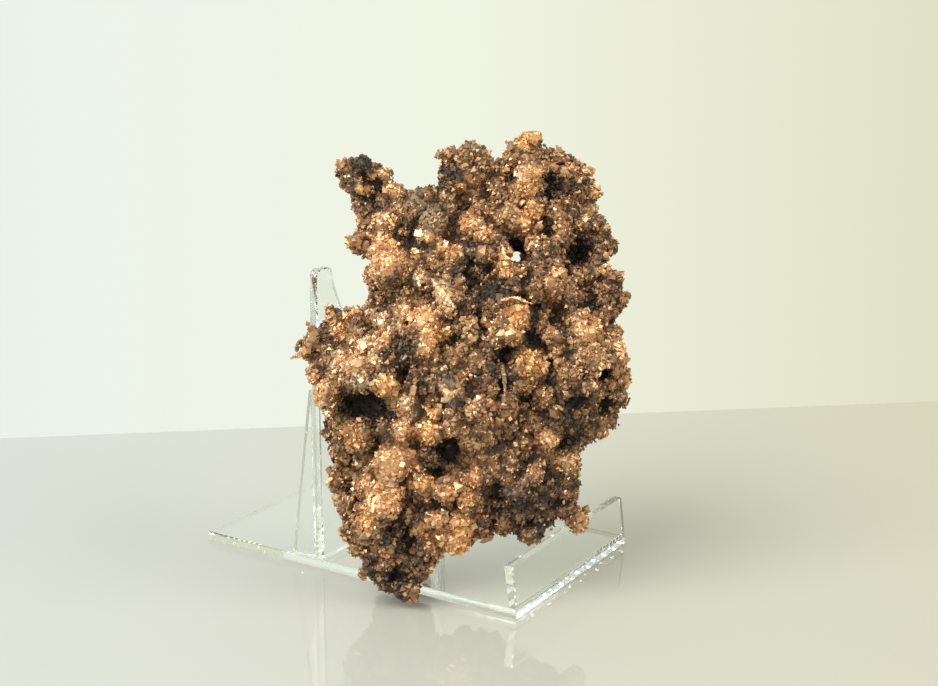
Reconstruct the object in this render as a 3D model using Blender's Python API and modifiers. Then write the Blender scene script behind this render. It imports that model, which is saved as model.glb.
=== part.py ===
"""Native copper nugget standing in a clear acrylic display easel.

Lengths below are millimetres, and MM turns them into metres. The easel stands square to the axes: X runs
across it, Y from its front lip to its rear edge, Z up. The nugget is modelled upright in its own axes
(x across its broad face, y through its thickness, z along its length) and is then turned and leant back
as it rests in the easel. The whole is centred on the origin, standing on Z = 0.
"""

import math
import random

import bmesh
import bpy
from mathutils import Matrix, Vector, noise
from mathutils.bvhtree import BVHTree

MM = 0.001
GAP = 0.3
CLEARANCE = 0.55
WELD_DISTANCE = 0.01
ACRYLIC_IOR = 1.49
ACRYLIC_VIEW_CLEARNESS = 0.6

# Easel: a foot plate, a lip along its front edge, an upright with two horns and a gusset at each side.
SHEET = 3.0
FOOT_WIDTH = 75.0
FOOT_DEPTH = 127.0
LIP_HEIGHT = 13.7
LIP_THICKNESS = 3.2
LIP_LEAN = 1.65
UPRIGHT_FRONT = 75.5
UPRIGHT_THICKNESS = 3.2
UPRIGHT_TOP = 102.6
HORN_WIDTH = 9.2
HORN_ROUNDING = 3.2
HORN_STRAIGHT = 4.5
CORNER_STEPS = 5
VALLEY_HEIGHT = 63.0
VALLEY_STEPS = 14
VALLEY_FLARE = 0.5
VALLEY_DROP = 3.0
VALLEY_REACH = 14.0
VALLEY_RISE = 1.0
GUSSET_THICKNESS = 3.0
GUSSET_DEPTH = 9.6
GUSSET_TIP = 1.0
GUSSET_TOP = 62.0
EDGE_BEVEL = 0.35

# How the nugget rests: its middle in the easel's axes, its turn about Z and its lean back.
NUGGET_MIDDLE = (14.0, 29.5, 74.2)
NUGGET_TURN = math.radians(-57.7)
NUGGET_LEAN = math.radians(-13.9)

# The nugget's core: a slab of the outline, drawn in a little to leave room for the crystals on its rim.
SLAB_HALF = 5.0
SLAB_ROUND = 2.5
SLAB_INSET = 0.3
CORE_VOXEL = 1.5
CORE_SMOOTHING = 5
HILL_SPACING = 15.0
HILL_HEIGHT = 4.5
HILLOCK_SPACING = 7.0
HILLOCK_HEIGHT = 2.0

# Its lumps: rounded knobs with creases between them, mounds and points.
FINE_VOXEL = 1.2
KNOB_SPACING = 6.5
KNOB_HEIGHT = 2.4
CREASE_DEPTH = 1.6
RIPPLE_SPACING = 3.5
RIPPLE_HEIGHT = 1.0
MOUND_SIZES = (2.4, 5.0)
MOUND_COUNT = 330
MOUND_SPACING = 5.5
MOUND_SUNK = 0.35
MOUND_SUNK_ON_RIM = 0.45
SPINE_SIDES = 7
SPINE_TIP = 0.8
HOLE_SIDES = 7
NUGGET_REACH = 100.0

# Its crystals: octahedra and cubes, half sunk in the skin.
CRYSTAL_VOXEL = 0.9
CRYSTAL_SIZES = (1.8, 3.0)
CRYSTAL_COUNT = 420
CRYSTAL_SPACING = 4.6
CRYSTAL_SUNK = 0.3
CRYSTAL_TILT = 0.7
OCTAHEDRON_SHARE = 0.6
OCTAHEDRON_RADIUS = 1.3
CUBE_SIDE = 1.6

NUGGET_TRIANGLES = 8900
THINNING_STEP = 25
THINNING_TRIES = 12
RANDOM_SEED = 29

# The nugget's outline, seen square to its broad face: (x, z), clockwise from the horn at the upper left.
OUTLINE = (
    (-40, 60), (-40, 64), (-37, 65), (-33, 67), (-28, 67), (-25, 65), (-22, 62), (-20, 58), (-15, 55),
    (-11, 56), (-8, 60), (-7, 69), (-2, 70), (6, 71), (9, 68), (11, 64), (14, 68), (17, 73), (24, 74),
    (27, 71), (28, 67), (31, 70), (37, 67), (42, 61), (45, 53), (47, 40), (47, 33), (50, 25), (54, 22),
    (53, 17), (51, 14), (53, 8), (54, 1), (53, -14), (51, -19), (47, -25), (42, -23), (38, -24),
    (38, -29), (35, -31), (38, -38), (38, -45), (40, -48), (40, -51), (37, -52), (34, -50), (26, -54),
    (22, -55), (19, -53), (15, -55), (8, -56), (0, -58), (-5, -61), (-6, -65), (-13, -68), (-13, -75),
    (-18, -75), (-26, -71), (-31, -66), (-34, -60), (-38, -56), (-39, -47), (-41, -40), (-42, -33),
    (-42, -27), (-44, -22), (-45, -15), (-47, -9), (-48, -3), (-47, 3), (-53, 3), (-51, 8), (-49, 12),
    (-43, 14), (-42, 17), (-37, 16), (-34, 20), (-28, 21), (-28, 25), (-32, 29), (-30, 33), (-34, 38),
    (-34, 41), (-33, 44), (-35, 50), (-37, 55),
)

# The masses that give the slab its depth: (x, y, z, half width, half thickness, half height).
MASSES = (
    (17, 3, 46, 25, 13, 20),
    (14, 4, 26, 31, 19, 24),
    (31, 2, 0, 20, 20, 24),
    (2, 4, 2, 34, 29, 36),
    (-20, 0, -10, 25, 23, 28),
    (-22, 2, -40, 16, 18, 22),
    (-19, 8, -61, 12, 14, 11),
    (17, 4, -35, 15, 19, 16),
    (0, 6, -36, 24, 21, 20),
    (-34, 1, 61, 5, 6, 5),
    (-28, 2, 51, 6.5, 8, 11),
    (-23, 2, 33, 8, 11, 13),
    (-15, 3, 24, 14, 15, 14),
    (43, 0, -13, 7, 10, 8),
    (43, 1, 14, 6, 11, 10),
    (-42, 0, 8, 7, 8, 6),
    (0, 3, 62, 8, 8, 8),
    (21, 1, 63, 5, 8, 7),
    (34, 3, 58, 6, 9, 8),
    (-5, 20, 0, 27, 19, 30),
    (16, 16, 22, 20, 14, 18),
    (-6, 18, -30, 18, 15, 18),
    (-33, 23, 8, 6, 6, 7),
)

# Lumps that stand out on the near face: (x, z, radius, how far its middle lies under the surface).
LUMPS = (
    (-20, -28, 6.2, 1.0), (-23, 34, 6.5, 1.5), (-35, 40, 3.4, 0.5), (-10, 48, 6.0, 2.5),
    (-11, 41, 3.2, 0.5), (15, 47, 4.6, 1.0), (22, 48, 4.4, 1.0), (17, 16, 4.0, 0.5), (15, 10, 4.4, 0.5),
    (-6, 24, 3.2, 0.2), (-6, 20, 3.4, 0.4), (-14, 27, 3.0, 0.2), (-17, 18, 4.8, 1.0), (-10, 14, 5.0, 1.0),
    (-4, 17, 3.8, 0.8), (2, 11, 5.0, 1.4), (-12, 8, 4.8, 1.2), (-32, -20, 4.0, 0.6), (-37, -26, 5.2, 1.5),
    (-17, -20, 4.2, 0.6), (-9, -20, 4.2, 0.8), (-23, -39, 5.8, 1.2), (-11, -36, 4.2, 0.8),
    (-5, -39, 4.2, 0.8), (3, -41, 4.2, 0.8), (0, -53, 4.0, 0.8), (21, 57, 5.2, 1.6), (-25, 47, 5.2, 1.6),
    (13, 31, 2.6, 0.2), (32, 24, 5.2, 2.0), (42, 4, 5.6, 2.0), (28, -20, 5.6, 2.4), (34, -38, 5.0, 2.0),
    (20, -45, 5.4, 2.0), (-30, -3, 6.0, 2.0), (-40, -8, 4.6, 1.4), (6, -12, 5.6, 2.4), (-22, 3, 5.0, 1.6),
    (0, 60, 5.0, 1.6), (36, 58, 4.6, 1.4), (28, 7, 4.8, 1.8), (-26, -62, 5.0, 1.6), (-12, -58, 4.6, 1.4),
    (44, 44, 3.8, 1.2), (4, 35, 4.8, 1.8), (-34, 12, 4.4, 1.0), (8, -28, 5.0, 1.8), (38, -6, 4.8, 1.8),
)

# Pits and cracks sunk into the near face: (x, z, half width, half height, depth, roll in degrees).
PITS = (
    (-30, -14, 9.0, 5.2, 12, 8), (-27, -25, 3.2, 6.0, 9, 0), (15, 4, 4.2, 5.6, 12, 0),
    (13, -8, 1.9, 4.2, 8, 8), (-3, -26, 4.4, 4.2, 10, 0), (-8, -33, 4.2, 3.0, 9, -15),
    (-10, -44, 10.5, 1.6, 9, 6), (-16, -54, 1.7, 8.0, 8, 4), (-23, -48, 2.6, 2.4, 8, 0),
    (37, 35, 3.8, 4.0, 12, 0), (41, 60, 2.2, 2.6, 7, 0), (-13, 22, 4.6, 2.2, 7, 10),
    (18, 36, 4.4, 4.4, 11, 0), (36, -12, 5.2, 2.0, 8, -20), (28, 44, 2.4, 4.6, 7, 10),
    (4, 25, 2.2, 4.6, 7, -30), (30, 14, 2.6, 4.4, 8, 20), (-2, 41, 3.2, 3.4, 8, 0),
    (22, -28, 4.4, 2.2, 7, -30), (-18, -3, 2.4, 5.0, 7, 25), (8, 55, 2.4, 4.2, 7, 0),
    (44, -3, 2.8, 3.2, 6, 0), (-25, 58, 2.4, 2.4, 5, 0),
)

# Narrow ways right through, along y: (x, z, radius).
THROUGH_HOLES = ((18, 36, 1.9), (-25.5, 58.5, 1.7), (44.5, -2, 1.9))

# Free points: (x, y, z) of the root, (x, y, z) of the tip, root radius.
SPINES = (
    ((-46, -2, 6), (-53, -3, 3), 2.4),
    ((-44, 0, 10), (-48, -2, 14), 2.0),
    ((-40, 0, 13), (-42, -1, 19), 1.8),
    ((-37, 0, 62), (-41, -1, 64), 2.2),
    ((-17, 0, -69), (-14.5, -1, -76), 3.4),
    ((37, 0, -46), (40, -1, -51), 3.0),
    ((21, 1, 67), (24, 0, 74), 2.8),
    ((-6, 1, 64), (-8, 0, 70), 2.4),
    ((49, 0, 18), (53, -1, 22), 2.4),
    ((33, 2, 62), (30.5, 1, 71), 2.6),
    ((-31, 0, 38), (-37, -1, 40), 2.0),
    ((-28, 0, 26), (-32, -1, 29), 2.0),
    ((43, 0, -20), (47, -1, -25), 2.8),
)


def clear_scene():
    for obj in list(bpy.data.objects):
        bpy.data.objects.remove(obj, do_unlink=True)


def make_collection(name, hidden=False):
    collection = bpy.data.collections.new(name)
    bpy.context.scene.collection.children.link(collection)
    collection.hide_render = hidden
    return collection


def make_material(name, colour, roughness, metallic=0.0, transmission=0.0):
    material = bpy.data.materials.new(name)
    material.use_nodes = True
    shader = material.node_tree.nodes["Principled BSDF"]
    shader.inputs["Base Color"].default_value = (*colour, 1.0)
    shader.inputs["Roughness"].default_value = roughness
    shader.inputs["Metallic"].default_value = metallic
    shader.inputs["Transmission Weight"].default_value = transmission
    shader.inputs["IOR"].default_value = ACRYLIC_IOR
    material.diffuse_color = (*colour, 1.0 - ACRYLIC_VIEW_CLEARNESS * transmission)
    return material


def add_object(name, mesh, collection, material=None):
    obj = bpy.data.objects.new(name, mesh)
    collection.objects.link(obj)
    if material:
        mesh.materials.clear()
        mesh.materials.append(material)
    return obj


def evaluated_mesh(obj):
    """The object's mesh with its modifiers applied, as a new mesh."""
    bpy.context.view_layer.update()
    graph = bpy.context.evaluated_depsgraph_get()
    return bpy.data.meshes.new_from_object(obj.evaluated_get(graph))


def apply_modifiers(obj):
    mesh = evaluated_mesh(obj)
    obj.modifiers.clear()
    obj.data = mesh


def flat_plate(name, points, half_thickness, rounding, collection, inset=0.0):
    """A closed flat outline, drawn in by inset, filled and given thickness along its own Z, as a mesh object."""
    curve = bpy.data.curves.new(name, "CURVE")
    curve.dimensions = "2D"
    curve.fill_mode = "BOTH"
    curve.extrude = (half_thickness - rounding) * MM
    curve.bevel_depth = rounding * MM
    curve.bevel_resolution = 0
    curve.offset = -(inset + rounding) * MM
    spline = curve.splines.new("POLY")
    spline.points.add(len(points) - 1)
    spline.use_cyclic_u = True
    for point, (x, y) in zip(spline.points, points):
        point.co = (x * MM, y * MM, 0.0, 1.0)
    shape = bpy.data.objects.new(name + "_outline", curve)
    collection.objects.link(shape)
    plate = add_object(name, evaluated_mesh(shape), collection)
    bpy.data.objects.remove(shape, do_unlink=True)
    weld = plate.modifiers.new("Weld", "WELD")
    weld.merge_threshold = WELD_DISTANCE * MM
    apply_modifiers(plate)
    return plate


def place(obj, root, middle, rotation=(0.0, 0.0, 0.0)):
    obj.parent = root
    obj.location = Vector(middle) * MM
    obj.rotation_euler = rotation


# ---------------------------------------------------------------- the easel

STAND_UP = (math.pi / 2, 0.0, 0.0)
FACE_ALONG_X = (math.pi / 2, 0.0, math.pi / 2)


def make_foot(collection, root, clear):
    mesh = bpy.data.meshes.new("stand_base")
    bm = bmesh.new()
    bmesh.ops.create_cube(bm, size=1.0)
    size = Vector((FOOT_WIDTH, FOOT_DEPTH, SHEET)) * MM
    bmesh.ops.scale(bm, vec=size, verts=bm.verts)
    bm.to_mesh(mesh)
    bm.free()
    foot = add_object("stand_base", mesh, collection, clear)
    bevel = foot.modifiers.new("Bevel", "BEVEL")
    bevel.width = EDGE_BEVEL * MM
    bevel.segments = 1
    place(foot, root, (FOOT_WIDTH / 2, FOOT_DEPTH / 2, SHEET / 2))


def make_lip(collection, root, clear):
    bottom = SHEET + GAP
    top = bottom + LIP_HEIGHT
    side = ((0, bottom), (LIP_THICKNESS, bottom), (LIP_THICKNESS + LIP_LEAN, top), (LIP_LEAN, top))
    lip = flat_plate("stand_lip", side, FOOT_WIDTH / 2, EDGE_BEVEL, collection)
    lip.data.materials.append(clear)
    place(lip, root, (FOOT_WIDTH / 2, 0, 0), FACE_ALONG_X)


def bezier(a, b, c, d, t):
    """The point at t on the cubic curve with these four control points."""
    s = 1 - t
    weights = (s**3, 3 * s * s * t, 3 * s * t * t, t**3)
    return tuple(sum(w * p[i] for w, p in zip(weights, (a, b, c, d))) for i in range(2))


def corner_arc(x, z, radius, start, end):
    """Points round an arc about (x, z), from one angle in degrees to another."""
    for step in range(CORNER_STEPS + 1):
        angle = math.radians(start + (end - start) * step / CORNER_STEPS)
        yield (x + radius * math.cos(angle), z + radius * math.sin(angle))


def near_horn_outline(bottom):
    """The upright's outline from the middle of its foot, up the near horn and down to the valley's middle."""
    r = HORN_ROUNDING
    points = [(FOOT_WIDTH / 2, bottom), (0, bottom)]
    points += corner_arc(r, UPRIGHT_TOP - r, r, 180, 90)
    points += corner_arc(HORN_WIDTH - r, UPRIGHT_TOP - r, r, 90, 0)
    start = (HORN_WIDTH, UPRIGHT_TOP - HORN_STRAIGHT)
    leave = (HORN_WIDTH + VALLEY_FLARE, UPRIGHT_TOP - HORN_STRAIGHT - VALLEY_DROP)
    arrive = (FOOT_WIDTH / 2 - VALLEY_REACH, VALLEY_HEIGHT + VALLEY_RISE)
    end = (FOOT_WIDTH / 2, VALLEY_HEIGHT)
    for step in range(VALLEY_STEPS + 1):
        points.append(bezier(start, leave, arrive, end, step / VALLEY_STEPS))
    return points


def make_upright(collection, root, clear):
    near = near_horn_outline(SHEET + GAP)
    far = [(FOOT_WIDTH - x, z) for x, z in reversed(near[1:-1])]
    upright = flat_plate("stand_back", near[1:] + far, UPRIGHT_THICKNESS / 2, EDGE_BEVEL, collection)
    upright.data.materials.append(clear)
    place(upright, root, (0, UPRIGHT_FRONT + UPRIGHT_THICKNESS / 2, 0), STAND_UP)


def make_gussets(collection, root, clear):
    front = UPRIGHT_FRONT + UPRIGHT_THICKNESS + GAP
    bottom = SHEET + GAP
    side = ((0, bottom), (GUSSET_DEPTH, bottom), (GUSSET_TIP, GUSSET_TOP), (0, GUSSET_TOP))
    for name, x in (("near", GUSSET_THICKNESS / 2), ("far", FOOT_WIDTH - GUSSET_THICKNESS / 2)):
        half = GUSSET_THICKNESS / 2
        gusset = flat_plate("stand_gusset_" + name, side, half, EDGE_BEVEL / 2, collection)
        gusset.data.materials.append(clear)
        place(gusset, root, (x, front, 0), FACE_ALONG_X)


# ---------------------------------------------------------------- the nugget


def add_ball(bm, middle, radii, roll=0.0, subdivisions=3):
    """An ellipsoid in millimetres, rolled about the y axis."""
    matrix = (
        Matrix.Translation(Vector(middle) * MM)
        @ Matrix.Rotation(roll, 4, "Y")
        @ Matrix.Diagonal((*(Vector(radii) * MM), 1.0))
    )
    bmesh.ops.create_icosphere(bm, subdivisions=subdivisions, radius=1.0, matrix=matrix)


def add_spine(bm, root, tip, radius):
    """A tapered point from root to tip."""
    start, end = Vector(root) * MM, Vector(tip) * MM
    turn = (end - start).to_track_quat("Z", "Y").to_matrix().to_4x4()
    matrix = Matrix.Translation((start + end) / 2) @ turn
    bmesh.ops.create_cone(
        bm,
        cap_ends=True,
        segments=SPINE_SIDES,
        radius1=radius * MM,
        radius2=SPINE_TIP * MM,
        depth=(end - start).length,
        matrix=matrix,
    )


def merge_into(obj, bm, voxel, smoothing=0):
    """Adds the closed shapes in bm to the object and fuses everything into one skin."""
    bm.from_mesh(obj.data)
    mesh = bpy.data.meshes.new(obj.name)
    bm.to_mesh(mesh)
    bm.free()
    obj.data = mesh
    remesh = obj.modifiers.new("Fuse", "REMESH")
    remesh.mode = "VOXEL"
    remesh.voxel_size = voxel * MM
    if smoothing:
        smooth = obj.modifiers.new("Smooth", "SMOOTH")
        smooth.factor = 0.5
        smooth.iterations = smoothing
    apply_modifiers(obj)


def swell(obj, height):
    """Moves each vertex along its normal by height(point, normal), both in the nugget's own axes."""
    mesh = obj.data
    normals = [normal.vector.copy() for normal in mesh.vertex_normals]
    for vertex, normal in zip(mesh.vertices, normals):
        vertex.co += normal * height(vertex.co / MM, normal) * MM
    mesh.update()


def broad_relief(point, normal):
    """Hills and hollows, gentler on the rim so that it keeps its outline."""
    facing = min(1.0, 0.15 + 1.2 * abs(normal.y))
    hills = HILL_HEIGHT * noise.noise(point / HILL_SPACING)
    return facing * (hills + HILLOCK_HEIGHT * noise.noise(point / HILLOCK_SPACING))


def lumpy_relief(point, normal):
    """Close-packed rounded lumps a few millimetres across, with creases between them."""
    facing = min(1.0, 0.35 + abs(normal.y))
    near, far = noise.voronoi(point / KNOB_SPACING)[0][:2]
    knobs = KNOB_HEIGHT * min(1.0, 2.0 * (far - near)) - CREASE_DEPTH
    return facing * (knobs + RIPPLE_HEIGHT * noise.noise(point / RIPPLE_SPACING))


def surface_of(obj):
    bm = bmesh.new()
    bm.from_mesh(obj.data)
    tree = BVHTree.FromBMesh(bm)
    bm.free()
    return tree


def near_face(tree, x, z):
    """The depth y at which the near face lies at (x, z), or None beside the nugget."""
    hit = tree.ray_cast(Vector((x, -NUGGET_REACH, z)) * MM, Vector((0, 1, 0)))[0]
    return hit.y / MM if hit else None


def make_core(collection):
    """The slab of the outline and the masses that thicken it, fused and given broad relief."""
    nugget = flat_plate("nugget", OUTLINE, SLAB_HALF, SLAB_ROUND, collection, SLAB_INSET)
    nugget.data.transform(Matrix.Rotation(math.pi / 2, 4, "X"))
    bm = bmesh.new()
    for x, y, z, *radii in MASSES:
        add_ball(bm, (x, y, z), radii)
    merge_into(nugget, bm, CORE_VOXEL, CORE_SMOOTHING)
    swell(nugget, broad_relief)
    return nugget


def spread_points(obj, count, spacing):
    """Points on the skin no closer than spacing to each other, with their normals."""
    generator = random.Random(RANDOM_SEED)
    vertices = list(obj.data.vertices)
    normals = [normal.vector.copy() for normal in obj.data.vertex_normals]
    order = list(range(len(vertices)))
    generator.shuffle(order)
    chosen = []
    for index in order:
        point = vertices[index].co / MM
        if all((point - other).length > spacing for other, _ in chosen):
            chosen.append((point, normals[index]))
        if len(chosen) == count:
            break
    return chosen


def add_lumps(nugget):
    """The named lumps of the near face, free points round the rim, and mounds over the rest of the skin."""
    tree = surface_of(nugget)
    generator = random.Random(RANDOM_SEED)
    bm = bmesh.new()
    for x, z, radius, sunk in LUMPS:
        face = near_face(tree, x, z)
        if face is not None:
            add_ball(bm, (x, face + sunk, z), (radius, radius, radius))
    for point, normal in spread_points(nugget, MOUND_COUNT, MOUND_SPACING):
        radius = generator.uniform(*MOUND_SIZES)
        sunk = MOUND_SUNK + MOUND_SUNK_ON_RIM * (1.0 - abs(normal.y))
        add_ball(bm, point - normal * radius * sunk, (radius, radius, radius), subdivisions=2)
    for root, tip, radius in SPINES:
        add_spine(bm, root, tip, radius)
    merge_into(nugget, bm, FINE_VOXEL)
    swell(nugget, lumpy_relief)
    merge_into(nugget, bmesh.new(), FINE_VOXEL)


def cut(nugget, bm, name, collection):
    """Takes the closed shapes in bm, given in the nugget's own axes, out of the nugget."""
    mesh = bpy.data.meshes.new(name)
    bm.to_mesh(mesh)
    bm.free()
    cutter = add_object(name, mesh, collection)
    cutter.hide_render = True
    cutter.display_type = "WIRE"
    cutter.matrix_world = nugget.matrix_world
    difference = nugget.modifiers.new(name, "BOOLEAN")
    difference.operation = "DIFFERENCE"
    difference.solver = "EXACT"
    difference.use_self = True
    difference.object = cutter
    apply_modifiers(nugget)


def sink_pits(nugget, cutters):
    tree = surface_of(nugget)
    bm = bmesh.new()
    for x, z, half_width, half_height, depth, roll in PITS:
        face = near_face(tree, x, z)
        if face is not None:
            radii = (half_width, depth, half_height)
            add_ball(bm, (x, face, z), radii, math.radians(roll), subdivisions=2)
    cut(nugget, bm, "pit_cutters", cutters)


def bore_through(nugget, cutters):
    bm = bmesh.new()
    for x, z, radius in THROUGH_HOLES:
        matrix = Matrix.Translation(Vector((x, 0, z)) * MM) @ Matrix.Rotation(math.pi / 2, 4, "X")
        bmesh.ops.create_cone(
            bm,
            cap_ends=True,
            segments=HOLE_SIDES,
            radius1=radius * MM,
            radius2=radius * MM,
            depth=NUGGET_REACH * MM,
            matrix=matrix,
        )
    cut(nugget, bm, "through_hole_cutters", cutters)


def every_edge_closed(mesh):
    bm = bmesh.new()
    bm.from_mesh(mesh)
    closed = all(edge.is_manifold for edge in bm.edges)
    bm.free()
    return closed


def thin_out(nugget, triangles):
    """Reduces the skin to about this many triangles, a few fewer where that leaves a faulty edge."""
    nugget.modifiers.new("Triangles", "TRIANGULATE")
    apply_modifiers(nugget)
    full = nugget.data
    for attempt in range(THINNING_TRIES):
        nugget.data = full
        decimate = nugget.modifiers.new("Thin out", "DECIMATE")
        decimate.ratio = (triangles - THINNING_STEP * attempt) / len(full.polygons)
        apply_modifiers(nugget)
        if every_edge_closed(nugget.data):
            break


def add_crystal(bm, middle, normal, size, generator):
    """An octahedron or a cube, the forms in which copper grows, turned at random and half sunk."""
    turn = normal.to_track_quat("Z", "Y").to_matrix().to_4x4()
    spin = Matrix.Rotation(generator.uniform(0, math.pi), 4, "Z")
    tilt = Matrix.Rotation(generator.uniform(-CRYSTAL_TILT, CRYSTAL_TILT), 4, "X")
    matrix = Matrix.Translation(middle * MM) @ turn @ spin @ tilt
    if generator.random() < OCTAHEDRON_SHARE:
        radius = size * OCTAHEDRON_RADIUS * MM
        bmesh.ops.create_uvsphere(bm, u_segments=4, v_segments=2, radius=radius, matrix=matrix)
    else:
        bmesh.ops.create_cube(bm, size=size * CUBE_SIDE * MM, matrix=matrix)


def grow_crystals(nugget):
    """Flat-faced crystals fused to the skin."""
    generator = random.Random(RANDOM_SEED + 1)
    bm = bmesh.new()
    for point, normal in spread_points(nugget, CRYSTAL_COUNT, CRYSTAL_SPACING):
        size = generator.uniform(*CRYSTAL_SIZES)
        add_crystal(bm, point - normal * size * CRYSTAL_SUNK, normal, size, generator)
    merge_into(nugget, bm, CRYSTAL_VOXEL)


def clear_of_easel(nugget, cutters):
    """Keeps the nugget just off the foot plate, the lip, the upright and the surface that they stand on."""
    bm = bmesh.new()
    lip_depth = LIP_THICKNESS + LIP_LEAN
    lip_top = SHEET + LIP_HEIGHT + GAP
    boxes = (
        ((0, 0, 0), (FOOT_WIDTH, FOOT_DEPTH, SHEET)),
        ((0, 0, SHEET), (FOOT_WIDTH, lip_depth, lip_top)),
        ((0, UPRIGHT_FRONT, 0), (FOOT_WIDTH, UPRIGHT_FRONT + UPRIGHT_THICKNESS, UPRIGHT_TOP)),
        ((-FOOT_WIDTH, -FOOT_WIDTH, -FOOT_WIDTH), (FOOT_WIDTH, FOOT_DEPTH, 0)),
    )
    to_nugget = nugget.matrix_world.inverted() @ nugget.parent.matrix_world
    for low, high in boxes:
        middle = (Vector(low) + Vector(high)) / 2
        size = Vector(high) - Vector(low) + Vector((CLEARANCE,) * 3) * 2
        matrix = Matrix.Translation(middle * MM) @ Matrix.Diagonal((*(size * MM), 1.0))
        bmesh.ops.create_cube(bm, size=1.0, matrix=to_nugget @ matrix)
    cut(nugget, bm, "easel_clearance", cutters)


def keep_largest_body(nugget):
    """Removes crumbs that the cuts left loose."""
    bm = bmesh.new()
    bm.from_mesh(nugget.data)
    bm.faces.ensure_lookup_table()
    unseen, bodies = set(bm.faces), []
    while unseen:
        stack, body = [unseen.pop()], []
        while stack:
            face = stack.pop()
            body.append(face)
            for edge in face.edges:
                for other in edge.link_faces:
                    if other in unseen:
                        unseen.remove(other)
                        stack.append(other)
        bodies.append(body)
    bodies.sort(key=len)
    for body in bodies[:-1]:
        bmesh.ops.delete(bm, geom=body, context="FACES")
    bmesh.ops.triangulate(bm, faces=bm.faces)
    bm.to_mesh(nugget.data)
    bm.free()


def make_nugget(collection, cutters, root, copper):
    nugget = make_core(collection)
    place(nugget, root, NUGGET_MIDDLE, (NUGGET_LEAN, 0.0, NUGGET_TURN))
    bpy.context.view_layer.update()
    add_lumps(nugget)
    grow_crystals(nugget)
    sink_pits(nugget, cutters)
    bore_through(nugget, cutters)
    clear_of_easel(nugget, cutters)
    merge_into(nugget, bmesh.new(), CRYSTAL_VOXEL)
    keep_largest_body(nugget)
    thin_out(nugget, NUGGET_TRIANGLES)
    nugget.data.materials.clear()
    nugget.data.materials.append(copper)


def centre_on_origin(collection, root):
    """Moves the root so that the whole stands centred on the origin."""
    bpy.context.view_layer.update()
    graph = bpy.context.evaluated_depsgraph_get()
    corners = []
    for obj in collection.objects:
        if obj.type == "MESH":
            shape = obj.evaluated_get(graph)
            corners += [shape.matrix_world @ vertex.co for vertex in shape.data.vertices]
    for axis in range(2):
        values = [corner[axis] for corner in corners]
        root.location[axis] -= (min(values) + max(values)) / 2


def main():
    clear_scene()
    collection = make_collection("native copper nugget")
    cutters = make_collection("cutters", hidden=True)
    root = bpy.data.objects.new("easel_corner", None)
    collection.objects.link(root)
    clear = make_material("clear_acrylic", (0.93, 0.96, 0.94), 0.04, transmission=1.0)
    copper = make_material("native_copper", (0.36, 0.19, 0.10), 0.5, metallic=0.8)
    make_foot(collection, root, clear)
    make_lip(collection, root, clear)
    make_upright(collection, root, clear)
    make_gussets(collection, root, clear)
    make_nugget(collection, cutters, root, copper)
    centre_on_origin(collection, root)


main()
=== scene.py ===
"""Looks of a native copper nugget that rests in a clear acrylic display easel.

The nugget's solid is sunk a little and covered with fused nodules, some listed and the rest scattered,
and these with a crust of small flat-faced copper crystals. The easel keeps its solids and gets a clear
acrylic finish. Lengths in the tables are millimetres in the nugget's own axes: x across its broad face,
y through it and z along it.
"""

import logging
import math
from dataclasses import dataclass, field
from enum import Enum, IntEnum
from typing import Iterable, Sequence

import bmesh
import bpy
import numpy as np
from mathutils import Euler, Matrix, Vector
from mathutils.bvhtree import BVHTree
from mathutils.kdtree import KDTree


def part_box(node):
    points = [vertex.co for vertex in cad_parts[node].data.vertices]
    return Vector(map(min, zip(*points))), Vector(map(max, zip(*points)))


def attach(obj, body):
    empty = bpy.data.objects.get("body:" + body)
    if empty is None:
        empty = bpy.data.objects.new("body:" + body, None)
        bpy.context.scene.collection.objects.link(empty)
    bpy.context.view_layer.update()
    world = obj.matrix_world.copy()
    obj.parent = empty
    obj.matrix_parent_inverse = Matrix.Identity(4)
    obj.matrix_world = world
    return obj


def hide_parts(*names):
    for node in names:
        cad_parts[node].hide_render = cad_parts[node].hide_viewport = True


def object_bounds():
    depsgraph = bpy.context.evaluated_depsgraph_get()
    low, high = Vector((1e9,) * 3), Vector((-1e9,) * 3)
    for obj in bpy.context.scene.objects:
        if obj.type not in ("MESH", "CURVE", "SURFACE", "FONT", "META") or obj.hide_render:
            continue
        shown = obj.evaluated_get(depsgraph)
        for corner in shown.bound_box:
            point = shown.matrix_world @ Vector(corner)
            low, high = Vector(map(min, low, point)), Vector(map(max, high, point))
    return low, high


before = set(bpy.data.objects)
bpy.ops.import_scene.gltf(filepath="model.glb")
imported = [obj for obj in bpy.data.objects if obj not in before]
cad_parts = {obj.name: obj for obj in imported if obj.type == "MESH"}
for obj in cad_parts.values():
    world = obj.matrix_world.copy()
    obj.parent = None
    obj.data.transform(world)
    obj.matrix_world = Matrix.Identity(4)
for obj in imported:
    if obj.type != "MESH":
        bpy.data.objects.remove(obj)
CAD_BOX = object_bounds()

MM = 0.001
LOG = logging.getLogger("nugget")

# A place is x, y and z, or in a table x, z and a radius. A span is the two ends of a range or of a ramp.
Colour = tuple[float, float, float]
Place = tuple[float, float, float]
Span = tuple[float, float]

# The numbers that the noise scrambles a cell's place with, and its origin and strength.
CELL_PRIMES = np.array((73856093, 19349663, 83492791))
SEED_PRIME = 40503
MIXING_PRIME = 1274126177
LOW_32_BITS = 0xFFFFFFFF
LOW_16_BITS = 0xFFFF
NOISE_ORIGIN = 1000.0
LAYERED_GAIN = 1.5

# The crystal forms, in crystal sizes.
CUBE_HALF_SIDE = 0.66
FLAKE_CORNERS = 5
FLAKE_TIP = (0.1, 0.32)

# Each sheet's face towards the nugget: the axis it's square to, and 0 for a low side or 1 for a high one.
SHEET_FACES = (("stand_base", 2, 1), ("stand_lip", 2, 1), ("stand_back", 1, 0))

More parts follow.
